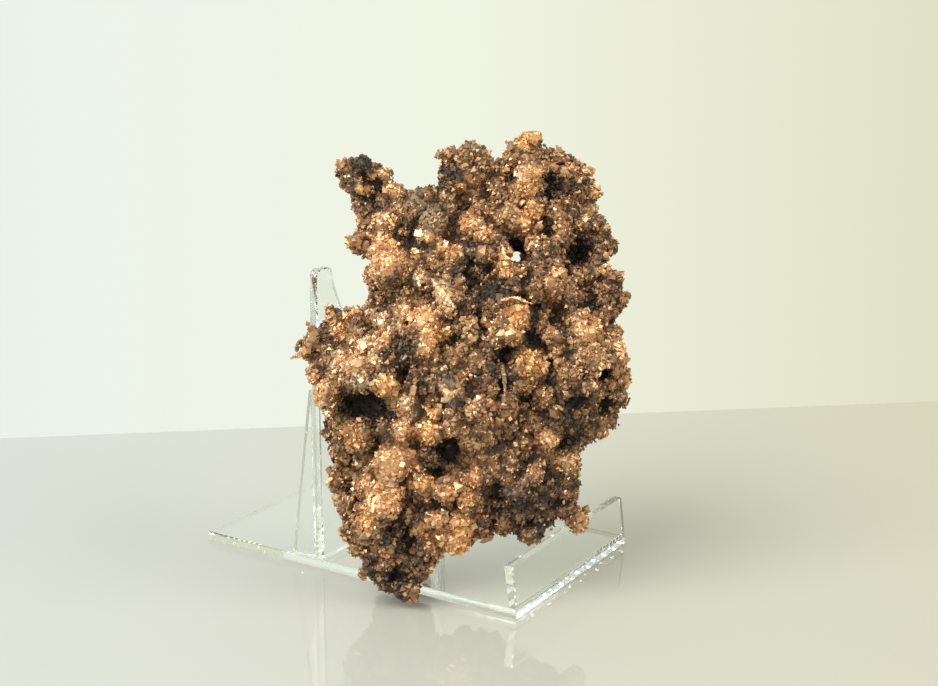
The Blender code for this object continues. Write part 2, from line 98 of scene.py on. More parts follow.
# The Mix node's sockets for colours.
MIX_COLOURS = (6, 7)
MIX_RESULT = 2


class Tint(Enum):
    """The colours of the nugget's patches. Tan is the plain metal, and each other has its own channel."""

    TAN = 0
    GOLD = 1
    CREAM = 2
    SLATE = 3
    PEACH = 4


MIXED_TINTS = (Tint.GOLD, Tint.CREAM, Tint.SLATE, Tint.PEACH)


class Pattern(IntEnum):
    """The patterns of noise, each with a seed of its own."""

    GAPS = 3
    RAGGED_EDGES = 9
    NODULE_SIZES = 13
    SINKING = 17
    CRYSTAL_SIZES = 51
    TINTS = 60
    SHADE = 80


class GrainForm(Enum):
    """The crystal forms of the crust, each a closed shape about one unit from middle to tip."""

    OCTAHEDRON = 0
    CUBE = 1
    FLAKE = 2
    CUBOCTAHEDRON = 3

    def corners(self) -> np.ndarray:
        """The form's corners.

        Returns:
            An N by 3 array of places.
        """
        signs = (-1, 1)
        if self is GrainForm.OCTAHEDRON:
            return np.array([axis * sign for axis in np.eye(3) for sign in (1, -1)])
        if self is GrainForm.CUBE:
            return np.array([(x, y, z) for x in signs for y in signs for z in signs]) * CUBE_HALF_SIDE
        if self is GrainForm.FLAKE:
            turns = np.arange(FLAKE_CORNERS) * math.tau / FLAKE_CORNERS
            rim = [(math.cos(turn), math.sin(turn), 0.0) for turn in turns]
            shift, rise = FLAKE_TIP
            return np.array([*rim, (shift, 0.0, rise), (0.0, shift, -rise)])
        pairs = [(a, b) for a in signs for b in signs]
        middles = [point for a, b in pairs for point in ((a, b, 0), (a, 0, b), (0, a, b))]
        return np.array(middles) * CUBE_HALF_SIDE

    def triangles(self) -> np.ndarray:
        """The form's faces, as triangles that face out.

        Returns:
            An N by 3 array of corner indices.
        """
        hull = bmesh.new()
        for corner in self.corners():
            hull.verts.new(corner)
        bmesh.ops.convex_hull(hull, input=hull.verts)
        bmesh.ops.recalc_face_normals(hull, faces=hull.faces)
        bmesh.ops.triangulate(hull, faces=hull.faces)
        hull.verts.index_update()
        found = np.array([[corner.index for corner in face.verts] for face in hull.faces])
        hull.free()
        return found


def from_foot(place: Place) -> Vector:
    """A place given in millimetres from the foot plate's low corner, in the row's metres."""
    return Vector((*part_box("stand_base")[0][:2], 0.0)) + Vector(place) * MM


@dataclass(frozen=True)
class NuggetAxes:
    """The nugget's own axes and how they lie in the row's frame."""

    middle: Place = (14.0, 29.5, 74.2)
    turn: float = math.radians(-57.7)
    lean: float = math.radians(-13.9)

    def matrix(self) -> np.ndarray:
        """The way from the nugget's millimetres to the row's metres.

        Returns:
            A 4 by 4 matrix.
        """
        turned = Euler((self.lean, 0.0, self.turn)).to_matrix().to_4x4()
        return np.array(Matrix.Translation(from_foot(self.middle)) @ turned @ Matrix.Scale(MM, 4))

    def to_row(self, points: np.ndarray) -> np.ndarray:
        """Points in the nugget's millimetres as points in the row's metres."""
        matrix = self.matrix()
        return points @ matrix[:3, :3].T + matrix[:3, 3]


def smooth_step(low: float, high: float, values: np.ndarray) -> np.ndarray:
    """An eased ramp from 0 at low to 1 at high.

    Args:
        low: where the ramp starts.
        high: where it ends.
        values: the values to map.

    Returns:
        The eased values, from 0 to 1.
    """
    t = np.clip((values - low) / (high - low), 0.0, 1.0)
    return t * t * (3.0 - 2.0 * t)


def value_noise(points: np.ndarray, size: float, seed: int) -> np.ndarray:
    """Smooth noise from -1 to 1.

    Args:
        points: where to read it, in millimetres.
        size: the distance between its independent values, in millimetres.
        seed: a number that gives another pattern.

    Returns:
        One value for each point.
    """
    scaled = points / size + NOISE_ORIGIN
    base = np.floor(scaled).astype(np.int64)
    part = scaled - base
    part = part * part * (3.0 - 2.0 * part)
    total = np.zeros(len(points))
    for step in np.ndindex(2, 2, 2):
        across, through, along = ((base + step) * CELL_PRIMES).T
        mixed = across ^ through ^ along ^ seed * SEED_PRIME
        mixed = (mixed ^ (mixed >> 13)) * MIXING_PRIME & LOW_32_BITS
        value = ((mixed ^ (mixed >> 16)) & LOW_16_BITS) / (LOW_16_BITS // 2) - 1.0
        total += value * np.where(step, part, 1.0 - part).prod(axis=1)
    return total


def layered_noise(points: np.ndarray, size: float, seed: int, layers: int = 3) -> np.ndarray:
    """Noise with finer and weaker layers on top.

    Args:
        points: where to read it, in millimetres.
        size: the coarsest layer's size in millimetres.
        seed: a number that gives another pattern.
        layers: how many layers it has, each half the size and strength of the one before.

    Returns:
        One value for each point, about from -1 to 1.
    """
    parts = [value_noise(points, size / 2**i, seed + i) / 2**i for i in range(layers)]
    return sum(parts) / (2.0 - 2.0 ** (1 - layers)) * LAYERED_GAIN


def away_from(x: float, z: float, points: np.ndarray) -> np.ndarray:
    """How far each point lies from (x, z), seen square on to the broad face, in millimetres."""
    return np.hypot(points[:, 0] - x, points[:, 2] - z)


def vertex_arrays(mesh: bpy.types.Mesh) -> tuple[np.ndarray, np.ndarray]:
    """A mesh's points and normals as arrays.

    Args:
        mesh: the mesh to read.

    Returns:
        The points and the normals, each an N by 3 array.
    """
    points = np.empty(len(mesh.vertices) * 3)
    normals = np.empty(len(mesh.vertices) * 3)
    mesh.vertices.foreach_get("co", points)
    mesh.vertex_normals.foreach_get("vector", normals)
    return points.reshape(-1, 3), normals.reshape(-1, 3)


def mesh_of(name: str, points: np.ndarray, triangles: np.ndarray) -> bpy.types.Mesh:
    """A flat-shaded mesh made from arrays.

    Args:
        name: the mesh's name.
        points: an N by 3 array of places.
        triangles: an M by 3 array of point indices.

    Returns:
        The new mesh.
    """
    mesh = bpy.data.meshes.new(name)
    mesh.vertices.add(len(points))
    mesh.vertices.foreach_set("co", points.astype(np.float32).ravel())
    mesh.loops.add(triangles.size)
    mesh.loops.foreach_set("vertex_index", triangles.astype(np.int32).ravel())
    mesh.polygons.add(len(triangles))
    mesh.polygons.foreach_set("loop_start", np.arange(0, triangles.size, 3, dtype=np.int32))
    mesh.update(calc_edges=True)
    mesh.shade_flat()
    return mesh


def repeated(faces: np.ndarray, corners: int, copies: int, first: int) -> np.ndarray:
    """The triangles of many copies of a shape, whose corners follow one another.

    Args:
        faces: the shape's own triangles.
        corners: how many corners it has.
        copies: how many copies there are.
        first: the index of the first copy's first corner.

    Returns:
        An N by 3 array of corner indices.
    """
    starts = first + np.arange(copies) * corners
    return (faces[None] + starts[:, None, None]).reshape(-1, 3)


def fused(mesh: bpy.types.Mesh, pitch: float, rounds: int = 1) -> bpy.types.Mesh:
    """A mesh fused into one even skin.

    Args:
        mesh: the mesh, which may be made of shapes that overlap.
        pitch: the size of the new skin's faces.
        rounds: how many times the skin is smoothed.

    Returns:
        The new mesh.
    """
    holder = bpy.data.objects.new(mesh.name, mesh)
    bpy.context.scene.collection.objects.link(holder)
    remesh = holder.modifiers.new("Fuse", "REMESH")
    remesh.mode = "VOXEL"
    remesh.voxel_size = pitch
    smooth = holder.modifiers.new("Smooth", "SMOOTH")
    smooth.iterations = rounds
    bpy.context.view_layer.update()
    graph = bpy.context.evaluated_depsgraph_get()
    skin = bpy.data.meshes.new_from_object(holder.evaluated_get(graph))
    bpy.data.objects.remove(holder, do_unlink=True)
    return skin


def colour_attribute(mesh: bpy.types.Mesh, name: str, columns: Sequence[np.ndarray]) -> None:
    """Stores four numbers for each vertex under a name that a material can read.

    Args:
        mesh: the mesh to store them on.
        name: the attribute's name.
        columns: four arrays of one number for each vertex.
    """
    layer = mesh.attributes.new(name, "FLOAT_COLOR", "POINT")
    layer.data.foreach_set("color", np.stack(columns, axis=1).astype(np.float32).ravel())


def clear_of_easel(points: np.ndarray, gap: float = 0.0001, box_margin: float = 0.00002) -> np.ndarray:
    """Moves points off the easel's sheets and inside the solids' box.

    A sheet pushes points out through its face towards the nugget.

    Args:
        points: points in the row's metres.
        gap: how far they stay off a sheet.
        box_margin: how far they stay inside the box.

    Returns:
        The moved points.
    """
    low, high = (np.array(corner) for corner in CAD_BOX)
    points = np.clip(points, low + box_margin, high - box_margin)
    for node, axis, side in SHEET_FACES:
        corners = np.array([tuple(corner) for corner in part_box(node)])
        inside = np.all((points > corners[0] - gap) & (points < corners[1] + gap), axis=1)
        points[inside, axis] = corners[side, axis] + (gap if side else -gap)
    return points


def dressed_piece(name: str, mesh: bpy.types.Mesh, finish: bpy.types.Material) -> bpy.types.Object:
    """Puts a part of the nugget in the scene, in place of the nugget's solid.

    Args:
        name: the piece's name.
        mesh: its mesh, in the row's metres.
        finish: its material.

    Returns:
        The new piece.
    """
    piece = bpy.data.objects.new(name, mesh)
    bpy.context.scene.collection.objects.link(piece)
    mesh.materials.clear()
    mesh.materials.append(finish)
    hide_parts("nugget")
    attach(piece, "root")
    return piece


class ShaderGraph:
    """A material's node tree, with short calls for the nodes that the finishes use."""

    def __init__(self, name: str) -> None:
        """Starts a material with its Principled shader.

        Args:
            name: the material's name.
        """
        self.material = bpy.data.materials.new(name)
        self.material.use_nodes = True
        self.tree = self.material.node_tree
        self.shader = self.tree.nodes["Principled BSDF"]
        self.output = self.tree.nodes["Material Output"]

    def node(self, kind: str, **settings: object) -> bpy.types.Node:
        """A new node with some of its properties set.

        Args:
            kind: the node's type.
            settings: the properties and their values.

        Returns:
            The node.
        """
        made = self.tree.nodes.new(kind)
        for key, value in settings.items():
            setattr(made, key, value)
        return made

    def feed(self, socket: bpy.types.NodeSocket, value: object) -> None:
        """Links an output to a socket, or sets the socket where the value is a number or a colour.

        Args:
            socket: the socket that takes the value.
            value: an output, a number or a colour.
        """
        if isinstance(value, bpy.types.NodeSocket):
            self.tree.links.new(value, socket)
        else:
            socket.default_value = value

    def math(self, operation: str, a: object, b: object = 0.0, clamp: bool = False) -> bpy.types.NodeSocket:
        """The result of a Math node.

        Args:
            operation: the node's operation.
            a: the first number or output.
            b: the second number or output.
            clamp: whether the result is kept from 0 to 1.

        Returns:
            The node's output.
        """
        node = self.node("ShaderNodeMath", operation=operation, use_clamp=clamp)
        self.feed(node.inputs[0], a)
        self.feed(node.inputs[1], b)
        return node.outputs[0]

    def weigh(self, base: object, *terms: tuple[object, float], clamp: bool = False) -> bpy.types.NodeSocket:
        """A number plus some outputs, each times its weight.

        Args:
            base: the number or output that the terms are added to.
            terms: (output, weight) of each term.
            clamp: whether the result is kept from 0 to 1.

        Returns:
            The sum's output.
        """
        total = base
        for index, (output, weight) in enumerate(terms):
            last = index == len(terms) - 1
            node = self.node("ShaderNodeMath", operation="MULTIPLY_ADD", use_clamp=clamp and last)
            for socket, value in zip(node.inputs, (output, weight, total)):
                self.feed(socket, value)
            total = node.outputs[0]
        return total

    def mix(self, factor: object, a: object, b: object) -> bpy.types.NodeSocket:
        """Two colours mixed by a factor.

        Args:
            factor: 0 for the first colour, 1 for the second.
            a: the first colour or output.
            b: the second colour or output.

        Returns:
            The mixed colour's output.
        """
        node = self.node("ShaderNodeMix", data_type="RGBA")
        self.feed(node.inputs["Factor"], factor)
        for socket, value in zip(MIX_COLOURS, (a, b)):
            self.feed(node.inputs[socket], (*value, 1.0) if isinstance(value, tuple) else value)
        return node.outputs[MIX_RESULT]

    def noise(self, scale: float, detail: float = 3.0, roughness: float = 0.55) -> bpy.types.NodeSocket:
        """Noise over the object's own coordinates, from 0 to 1.

        Args:
            scale: hills to the metre.
            detail: how many finer layers it has.
            roughness: how strong the finer layers are.

        Returns:
            The noise's output.
        """
        coordinates = self.node("ShaderNodeTexCoord")
        node = self.node("ShaderNodeTexNoise")
        node.inputs["Scale"].default_value = scale
        node.inputs["Detail"].default_value = detail
        node.inputs["Roughness"].default_value = roughness
        self.feed(node.inputs["Vector"], coordinates.outputs["Object"])
        return node.outputs["Fac"]

    def ramp(self, factor: object, stops: Sequence[tuple[float, Colour]]) -> bpy.types.NodeSocket:
        """A colour ramp.

        Args:
            factor: what it is read by.
            stops: (position, colour) of each stop.

        Returns:
            The colour's output.
        """
        node = self.node("ShaderNodeValToRGB")
        elements = node.color_ramp.elements
        while len(elements) < len(stops):
            elements.new(0.5)
        for element, (position, colour) in zip(elements, stops):
            element.position = position
            element.color = (*colour, 1.0)
        self.feed(node.inputs["Fac"], factor)
        return node.outputs["Color"]

    def channels(self, attribute: str) -> list[bpy.types.NodeSocket]:
        """The four numbers of a colour attribute.

        Args:
            attribute: the attribute's name.

        Returns:
            The output of each number.
        """
        node = self.node("ShaderNodeAttribute", attribute_name=attribute)
        parts = self.node("ShaderNodeSeparateColor")
        self.feed(parts.inputs["Color"], node.outputs["Color"])
        return [*parts.outputs, node.outputs["Alpha"]]

    def bump(self, height: bpy.types.NodeSocket, depth: float, strength: float) -> None:
        """Roughens the shader's surface by a height.

        Args:
            height: the height's output, from 0 to 1.
            depth: how far 1 stands over 0, in metres.
            strength: how much of it shows.
        """
        node = self.node("ShaderNodeBump")
        node.inputs["Distance"].default_value = depth
        node.inputs["Strength"].default_value = strength
        self.feed(node.inputs["Height"], height)
        self.feed(self.shader.inputs["Normal"], node.outputs["Normal"])


@dataclass(frozen=True)
class TarnishedCopper:
    """Weathered native copper: brown oxide, bright worn faces, golden and slate patches, gaps dark with oxide
    and painted shade.
    """

    oxide_and_shade_black: Colour = (0.034, 0.028, 0.025)
    bark: Colour = (0.092, 0.062, 0.043)
    copper: Colour = (0.30, 0.172, 0.092)
    tan: Colour = (0.62, 0.385, 0.205)
    worn: Colour = (0.95, 0.72, 0.46)
    gold: Colour = (0.86, 0.47, 0.19)
    peach: Colour = (0.86, 0.46, 0.225)
    slate: Colour = (0.072, 0.068, 0.048)
    cream: Colour = (0.92, 0.68, 0.43)
    rust: Colour = (0.34, 0.13, 0.08)
    gold_share: float = 0.6
    peach_share: float = 0.45
    cream_share: float = 0.6
    slate_share: float = 0.7
    tint_ground: float = 0.35
    ramp_places: tuple[float, ...] = (0.0, 0.22, 0.46, 0.72, 1.0)
    level_start: float = -0.145
    tone_weight: float = 0.62
    patch_weight: float = 0.62
    speck_weight: float = 0.32
    recess_weight: float = -0.45
    shade_weight: float = -0.25
    peach_weight: float = 0.14
    rust_start: float = -0.9
    rust_weight: float = 1.6
    metal: float = 0.72
    recess_metal: float = -0.4
    slate_metal: float = -0.3
    roughness: float = 0.28
    speck_roughness: float = 0.25
    recess_roughness: float = 0.25
    patch_scale: float = 60.0
    speck_scale: float = 800.0
    pit_scale: float = 1900.0
    pit_depth: float = 0.12 * MM
    pit_strength: float = 0.5

    def build(self) -> bpy.types.Material:
        """Makes the material.

        Returns:
            The finished material.
        """
        graph = ShaderGraph("tarnished_copper")
        inputs = graph.shader.inputs
        gold, cream, slate, peach = graph.channels("tints")
        tone, recess, hue, shade = graph.channels("grain")
        patches = graph.noise(self.patch_scale, detail=4.0)
        specks = graph.noise(self.speck_scale, detail=2.0)
        # Recess darkens the level for dark oxide in the gaps and for painted shade there. Shade is painted
        # shade on the near side and random dark patches on the far side.
        terms = (
            (tone, self.tone_weight), (patches, self.patch_weight), (specks, self.speck_weight),
            (recess, self.recess_weight), (shade, self.shade_weight), (peach, self.peach_weight),
        )
        level = graph.weigh(self.level_start, *terms, clamp=True)
        colours = (self.oxide_and_shade_black, self.bark, self.copper, self.tan, self.worn)
        colour = graph.ramp(level, tuple(zip(self.ramp_places, colours)))
        reddish = graph.weigh(self.rust_start, (hue, self.rust_weight), clamp=True)
        colour = graph.mix(graph.math("MULTIPLY", reddish, level), colour, self.rust)
        for amount, share, tint in (
            (gold, self.gold_share, self.gold), (peach, self.peach_share, self.peach),
            (cream, self.cream_share, self.cream), (slate, self.slate_share, self.slate),
        ):
            strength = graph.weigh(self.tint_ground, (tone, 1.0 - self.tint_ground))
            strength = graph.math("MULTIPLY", strength, graph.math("MULTIPLY", amount, share))
            colour = graph.mix(strength, colour, tint)
        metal = graph.weigh(self.metal, (recess, self.recess_metal), (slate, self.slate_metal), clamp=True)
        rough = graph.weigh(self.roughness, (specks, self.speck_roughness), (recess, self.recess_roughness))
        graph.feed(inputs["Base Color"], colour)
        graph.feed(inputs["Metallic"], metal)
        graph.feed(inputs["Roughness"], rough)
        graph.bump(graph.noise(self.pit_scale), self.pit_depth, self.pit_strength)
        return graph.material


@dataclass(frozen=True)
class ClearAcrylic:
    """Polished clear acrylic sheet, with a faint green-grey in its depth."""

    body: Colour = (0.985, 0.995, 0.99)
    depth_colour: Colour = (0.86, 0.94, 0.92)
    depth_density: float = 5.0
    refraction: float = 1.49
    smudge_scale: float = 60.0
    most_roughness: float = 0.05

    def build(self) -> bpy.types.Material:
        """Makes the material.

        Returns:
            The finished material.
        """
        graph = ShaderGraph("clear_acrylic_sheet")
        inputs = graph.shader.inputs
        inputs["Base Color"].default_value = (*self.body, 1.0)
        inputs["Transmission Weight"].default_value = 1.0
        inputs["IOR"].default_value = self.refraction
        smudges = graph.noise(self.smudge_scale, detail=5.0)
        graph.feed(inputs["Roughness"], graph.math("MULTIPLY", smudges, self.most_roughness))
        depth = graph.node("ShaderNodeVolumeAbsorption")
        depth.inputs["Color"].default_value = (*self.depth_colour, 1.0)
        depth.inputs["Density"].default_value = self.depth_density
        graph.feed(graph.output.inputs["Volume"], depth.outputs["Volume"])
        return graph.material


@dataclass(frozen=True)
class GlossyTable:
    """The pale polished surface under the easel, with painted warm light towards its +x end."""

    colour: Colour = (0.437, 0.470, 0.460)
    warm_light_colour: Colour = (0.448, 0.410, 0.282)
    roughness: float = 0.018
    warmth: float = 0.25
    warmth_slope: float = 1.4
    cloud_scale: float = 5.0
    cloud_weight: float = 0.2

    def build(self) -> bpy.types.Material:
        """Makes the material.

        Returns:
            The finished material.
        """
        graph = ShaderGraph("pale_table")
        place = graph.node("ShaderNodeSeparateXYZ")
        graph.feed(place.inputs["Vector"], graph.node("ShaderNodeTexCoord").outputs["Object"])
        # Painted warm light: the colour turns warmer along x, varied at random by clouds.
        clouds = graph.noise(self.cloud_scale, detail=2.0)
        terms = ((place.outputs["X"], self.warmth_slope), (clouds, self.cloud_weight))
        painted_warmth = graph.weigh(self.warmth, *terms, clamp=True)
        graph.feed(graph.shader.inputs["Base Color"], graph.mix(painted_warmth, self.colour, self.warm_light_colour))
        graph.shader.inputs["Roughness"].default_value = self.roughness
        return graph.material


@dataclass(frozen=True)
class BroadFace:
    """What shows on the nugget's near face: nodules, hollows, holes and patches of colour.

    Each row starts with its place, x and z. A nodule goes on with its radius and colour, a hollow with its
    half width, half height and depth, and a hole or a spot of painted shade with its radius.
    """

    nodules: tuple[tuple[float, float, float, Tint], ...] = (
        (-38.3, 63.7, 2.2, Tint.TAN), (-31.8, 66.3, 2.2, Tint.SLATE), (-22.6, 62.0, 2.2, Tint.TAN),
        (-18.9, 57.3, 3.0, Tint.TAN), (-31.1, 56.0, 1.6, Tint.GOLD), (-24.0, 46.9, 4.0, Tint.TAN),
        (-26.3, 41.4, 2.6, Tint.TAN), (-23.4, 35.3, 6.2, Tint.PEACH), (-35.3, 39.8, 2.2, Tint.GOLD),
        (-30.5, 28.5, 2.5, Tint.TAN), (-14.7, 52.1, 3.2, Tint.SLATE), (-9.8, 47.3, 5.0, Tint.SLATE),
        (-4.3, 52.4, 2.2, Tint.CREAM), (-10.5, 41.4, 3.0, Tint.CREAM), (3.1, 45.3, 4.0, Tint.PEACH),
        (-2.7, 36.6, 3.5, Tint.PEACH), (-1.1, 54.4, 4.0, Tint.TAN), (-14.0, 28.5, 2.5, Tint.CREAM),
        (-5.0, 21.5, 2.2, Tint.CREAM), (-5.5, 24.5, 2.0, Tint.CREAM), (18.0, 16.3, 4.0, Tint.GOLD),
        (16.0, 9.9, 3.0, Tint.GOLD), (12.5, 10.2, 2.2, Tint.TAN), (19.5, 10.4, 2.4, Tint.TAN),
        (21.2, 1.4, 4.5, Tint.GOLD), (21.5, -6.3, 4.5, Tint.TAN), (8.3, 18.4, 2.6, Tint.TAN),
        (9.5, 13.1, 2.8, Tint.TAN), (-2.6, -7.9, 3.6, Tint.CREAM), (39.8, 12.3, 4.0, Tint.PEACH),
        (39.8, 4.6, 5.0, Tint.TAN), (30.5, 22.0, 4.5, Tint.TAN), (51.9, 5.4, 3.5, Tint.PEACH),
        (-19.7, -28.5, 6.3, Tint.PEACH), (-23.0, -39.1, 5.8, Tint.PEACH), (-22.2, -34.6, 2.2, Tint.CREAM),
        (-10.6, -36.2, 2.8, Tint.GOLD), (-5.2, -38.2, 3.2, Tint.PEACH), (2.7, -39.2, 2.8, Tint.GOLD),
        (3.5, -34.5, 3.0, Tint.PEACH), (-3.0, -33.2, 2.6, Tint.PEACH), (-41.9, -32.0, 2.2, Tint.TAN),
        (-41.9, -35.5, 2.2, Tint.TAN), (-32.0, -35.5, 5.0, Tint.TAN), (-29.2, -46.7, 3.3, Tint.GOLD),
        (-8.1, -47.4, 2.2, Tint.PEACH), (-11.7, -51.4, 2.8, Tint.PEACH), (-0.1, -49.9, 4.6, Tint.GOLD),
        (-1.9, -54.7, 4.6, Tint.GOLD), (-6.3, -54.7, 3.0, Tint.GOLD), (-15.4, -72.2, 2.3, Tint.TAN),
        (-23.2, -59.5, 2.6, Tint.PEACH), (-42.1, 16.0, 2.4, Tint.TAN), (-48.1, 11.6, 2.4, Tint.TAN),
        (-32.8, 19.6, 2.6, Tint.PEACH), (-37.3, 12.4, 3.3, Tint.PEACH), (-26.0, 16.0, 3.0, Tint.CREAM),
        (-31.5, 8.6, 3.2, Tint.CREAM), (-24.6, 8.8, 3.0, Tint.PEACH), (-40.4, 3.4, 3.3, Tint.CREAM),
        (-34.0, 1.8, 3.0, Tint.PEACH), (-13.4, 16.8, 4.5, Tint.PEACH), (-7.3, 10.8, 4.0, Tint.GOLD),
        (-10.6, 2.7, 3.2, Tint.PEACH), (-26.8, 1.0, 3.0, Tint.CREAM), (-31.2, -5.0, 3.2, Tint.CREAM),
        (-21.5, -6.2, 3.8, Tint.GOLD), (-44.9, -6.2, 4.0, Tint.PEACH), (-15.8, -12.3, 3.4, Tint.CREAM),
        (-16.7, -20.0, 3.6, Tint.PEACH), (-10.6, -19.6, 3.8, Tint.GOLD), (-33.6, -20.8, 4.2, Tint.GOLD),
        (5.5, 69.9, 3.0, Tint.SLATE), (19.2, 71.9, 4.0, Tint.GOLD), (24.9, 73.1, 2.8, Tint.GOLD),
        (30.9, 70.3, 2.2, Tint.TAN), (19.2, 59.8, 2.4, Tint.CREAM), (22.8, 60.5, 2.2, Tint.GOLD),
        (20.8, 56.1, 3.6, Tint.GOLD), (14.8, 47.3, 3.5, Tint.TAN), (21.6, 47.6, 3.5, Tint.GOLD),
        (19.2, 43.6, 2.5, Tint.PEACH), (21.2, 38.8, 2.6, Tint.TAN), (13.5, 31.5, 3.4, Tint.GOLD),
        (8.3, 42.0, 2.8, Tint.PEACH), (26.5, -23.9, 3.6, Tint.PEACH), (24.9, -32.0, 3.6, Tint.TAN),
        (31.3, -28.4, 3.6, Tint.TAN), (15.2, -51.8, 3.6, Tint.TAN), (23.3, -53.4, 3.6, Tint.TAN),
        (38.6, -49.4, 3.4, Tint.TAN),
    )
    hollows: tuple[tuple[float, float, float, float, float], ...] = (
        (-30.8, -12.3, 9.5, 4.6, 5), (-22.6, -15.4, 4.5, 2.0, 5), (-25.6, -29.0, 2.5, 4.0, 4),
        (-5.5, -29.0, 4.5, 5.5, 5), (16.0, 4.6, 5.5, 4.2, 6), (8.5, -0.5, 3.5, 2.5, 4),
        (24.5, 8.0, 3.5, 3.5, 4), (23.7, 15.9, 2.0, 4.5, 4), (13.9, -7.0, 1.4, 4.5, 4),
        (-23.0, -48.2, 3.0, 2.6, 5), (-8.0, -43.4, 10.0, 1.7, 6), (-17.0, -52.0, 1.9, 7.0, 5),
        (-5.9, -50.0, 2.6, 1.6, 3), (-8.5, -61.6, 4.0, 3.0, 4), (38.6, 38.8, 3.6, 4.4, 6),
        (35.8, 31.9, 3.0, 4.5, 3), (15.2, 38.8, 3.8, 4.0, 5), (39.8, 60.2, 2.6, 3.6, 3),
        (27.3, 56.1, 2.4, 6.0, 3), (-13.0, 21.0, 4.0, 2.2, 5), (-32.0, 15.2, 4.5, 1.8, 3),
        (-41.3, 10.8, 3.5, 2.0, 3), (-31.8, 37.6, 2.6, 3.5, 3), (-13.7, 38.2, 3.0, 2.2, 4),
        (-6.9, 55.7, 2.8, 2.4, 4), (-4.0, 43.8, 3.0, 2.0, 3), (1.8, 33.0, 6.0, 1.8, 3),
        (-4.2, 59.0, 4.0, 3.0, 2), (41.8, 19.2, 4.5, 2.0, 4), (46.2, -6.0, 1.8, 7.5, 4),
        (35.0, -12.4, 7.0, 2.4, 4), (22.4, -24.3, 2.4, 4.0, 3), (2.6, 13.5, 1.6, 1.6, 3),
        (-18.7, 5.1, 5.0, 2.4, 2),
    )
    holes: tuple[Place, ...] = ((18, 36, 1.7), (-25.5, 58.5, 1.5), (44.5, -2, 1.7))
    least_moated: float = 3.4
    moat_start: Span = (-0.3, 0.4)
    moat_end: Span = (2.2, 1.5)
    moat_depth: float = 4.0
    moat_raggedness: float = 2.0
    side_depths: Span = (14.0, 6.0)
    tint_ends: Span = (1.3, 0.7)
    tint_spill: float = 0.6
    painted_shade_ends: Span = (1.3, 0.5)
    hollow_ends: Span = (1.2, 0.75)
    ragged_size: float = 3.0
    raggedness: float = 0.28
    # Spots of painted shade, each x, z and a radius: the near side is darkened there as if it lay in shade.
    painted_shades: tuple[Place, ...] = (
        (-22, -66, 11), (24, -46, 12), (-31, 65, 5), (-28, 51, 5), (15, 2, 8), (-30, -12, 10), (-5, -29, 7),
        (-18, -54, 8), (37, 35, 6), (2, 33, 7), (36, -16, 9), (-18, 5, 6), (8, 26, 8), (27, 57, 6),
        (-4, 59, 5), (12, -40, 8),
    )

    def near_side(self, points: np.ndarray) -> np.ndarray:
        """1 on the near side, falling to 0 towards the far side."""
        return smooth_step(*self.side_depths, points[:, 1])

    def tint(self, points: np.ndarray, tint: Tint) -> np.ndarray:
        """How strong a patch of colour is at each point.

        Args:
            points: points in the nugget's millimetres.
            tint: the patch's colour.

        Returns:
            Values from 0 to 1.
        """
        found = np.zeros(len(points))
        for x, z, radius, colour in self.nodules:
            if colour is tint:
                outer, inner = self.tint_ends[0] * radius + self.tint_spill, self.tint_ends[1] * radius
                found = np.maximum(found, smooth_step(outer, inner, away_from(x, z, points)))
        return found * self.near_side(points)

    def shade(self, points: np.ndarray) -> np.ndarray:
        """How much painted shade each point of the near side gets.

        Args:
            points: points in the nugget's millimetres.

        Returns:
            Values from 0 to 1.
        """
        found = np.zeros(len(points))
        outer, inner = self.painted_shade_ends
        for x, z, radius in self.painted_shades:
            dark = smooth_step(outer * radius, inner * radius, away_from(x, z, points))
            found = np.maximum(found, dark)
        return found * self.near_side(points)

    def hollow(self, points: np.ndarray) -> np.ndarray:
        """How far each point of the near side sinks into a hollow or a moat.

        Args:
            points: points in the nugget's millimetres.

        Returns:
            One depth in millimetres for each point.
        """
        ragged = self.raggedness * layered_noise(points, self.ragged_size, Pattern.RAGGED_EDGES)
        found = np.zeros(len(points))
        for x, z, half_width, half_height, depth in self.hollows:
            across = np.hypot((points[:, 0] - x) / half_width, (points[:, 2] - z) / half_height)
            found = np.maximum(found, depth * smooth_step(*self.hollow_ends, across + ragged))
        return np.maximum(found, self.moat(points, ragged)) * self.near_side(points)

    def moat(self, points: np.ndarray, ragged: np.ndarray) -> np.ndarray:
        """How far each point sinks into the moat, the dark ring round a large nodule.

        Args:
            points: points in the nugget's millimetres.
            ragged: how far an edge wanders at each point.

        Returns:
            One depth in millimetres for each point.
        """
        found = np.zeros(len(points))
        for x, z, radius, _ in self.nodules:
            if radius >= self.least_moated:
                beyond = away_from(x, z, points) - radius + self.moat_raggedness * ragged
                ring = smooth_step(*self.moat_start, beyond) * smooth_step(*self.moat_end, beyond)
                found = np.maximum(found, self.moat_depth * ring)
        return found

    def in_hole(self, points: np.ndarray, spare: float | np.ndarray) -> np.ndarray:
        """Whether each point lies in the open bore of a hole, or near it.

        Args:
            points: points in the nugget's millimetres.
            spare: how near counts, in millimetres.

        Returns:
            One truth value for each point.
        """
        found = np.zeros(len(points), dtype=bool)
        for x, z, radius in self.holes:
            found |= away_from(x, z, points) < radius + spare
        return found


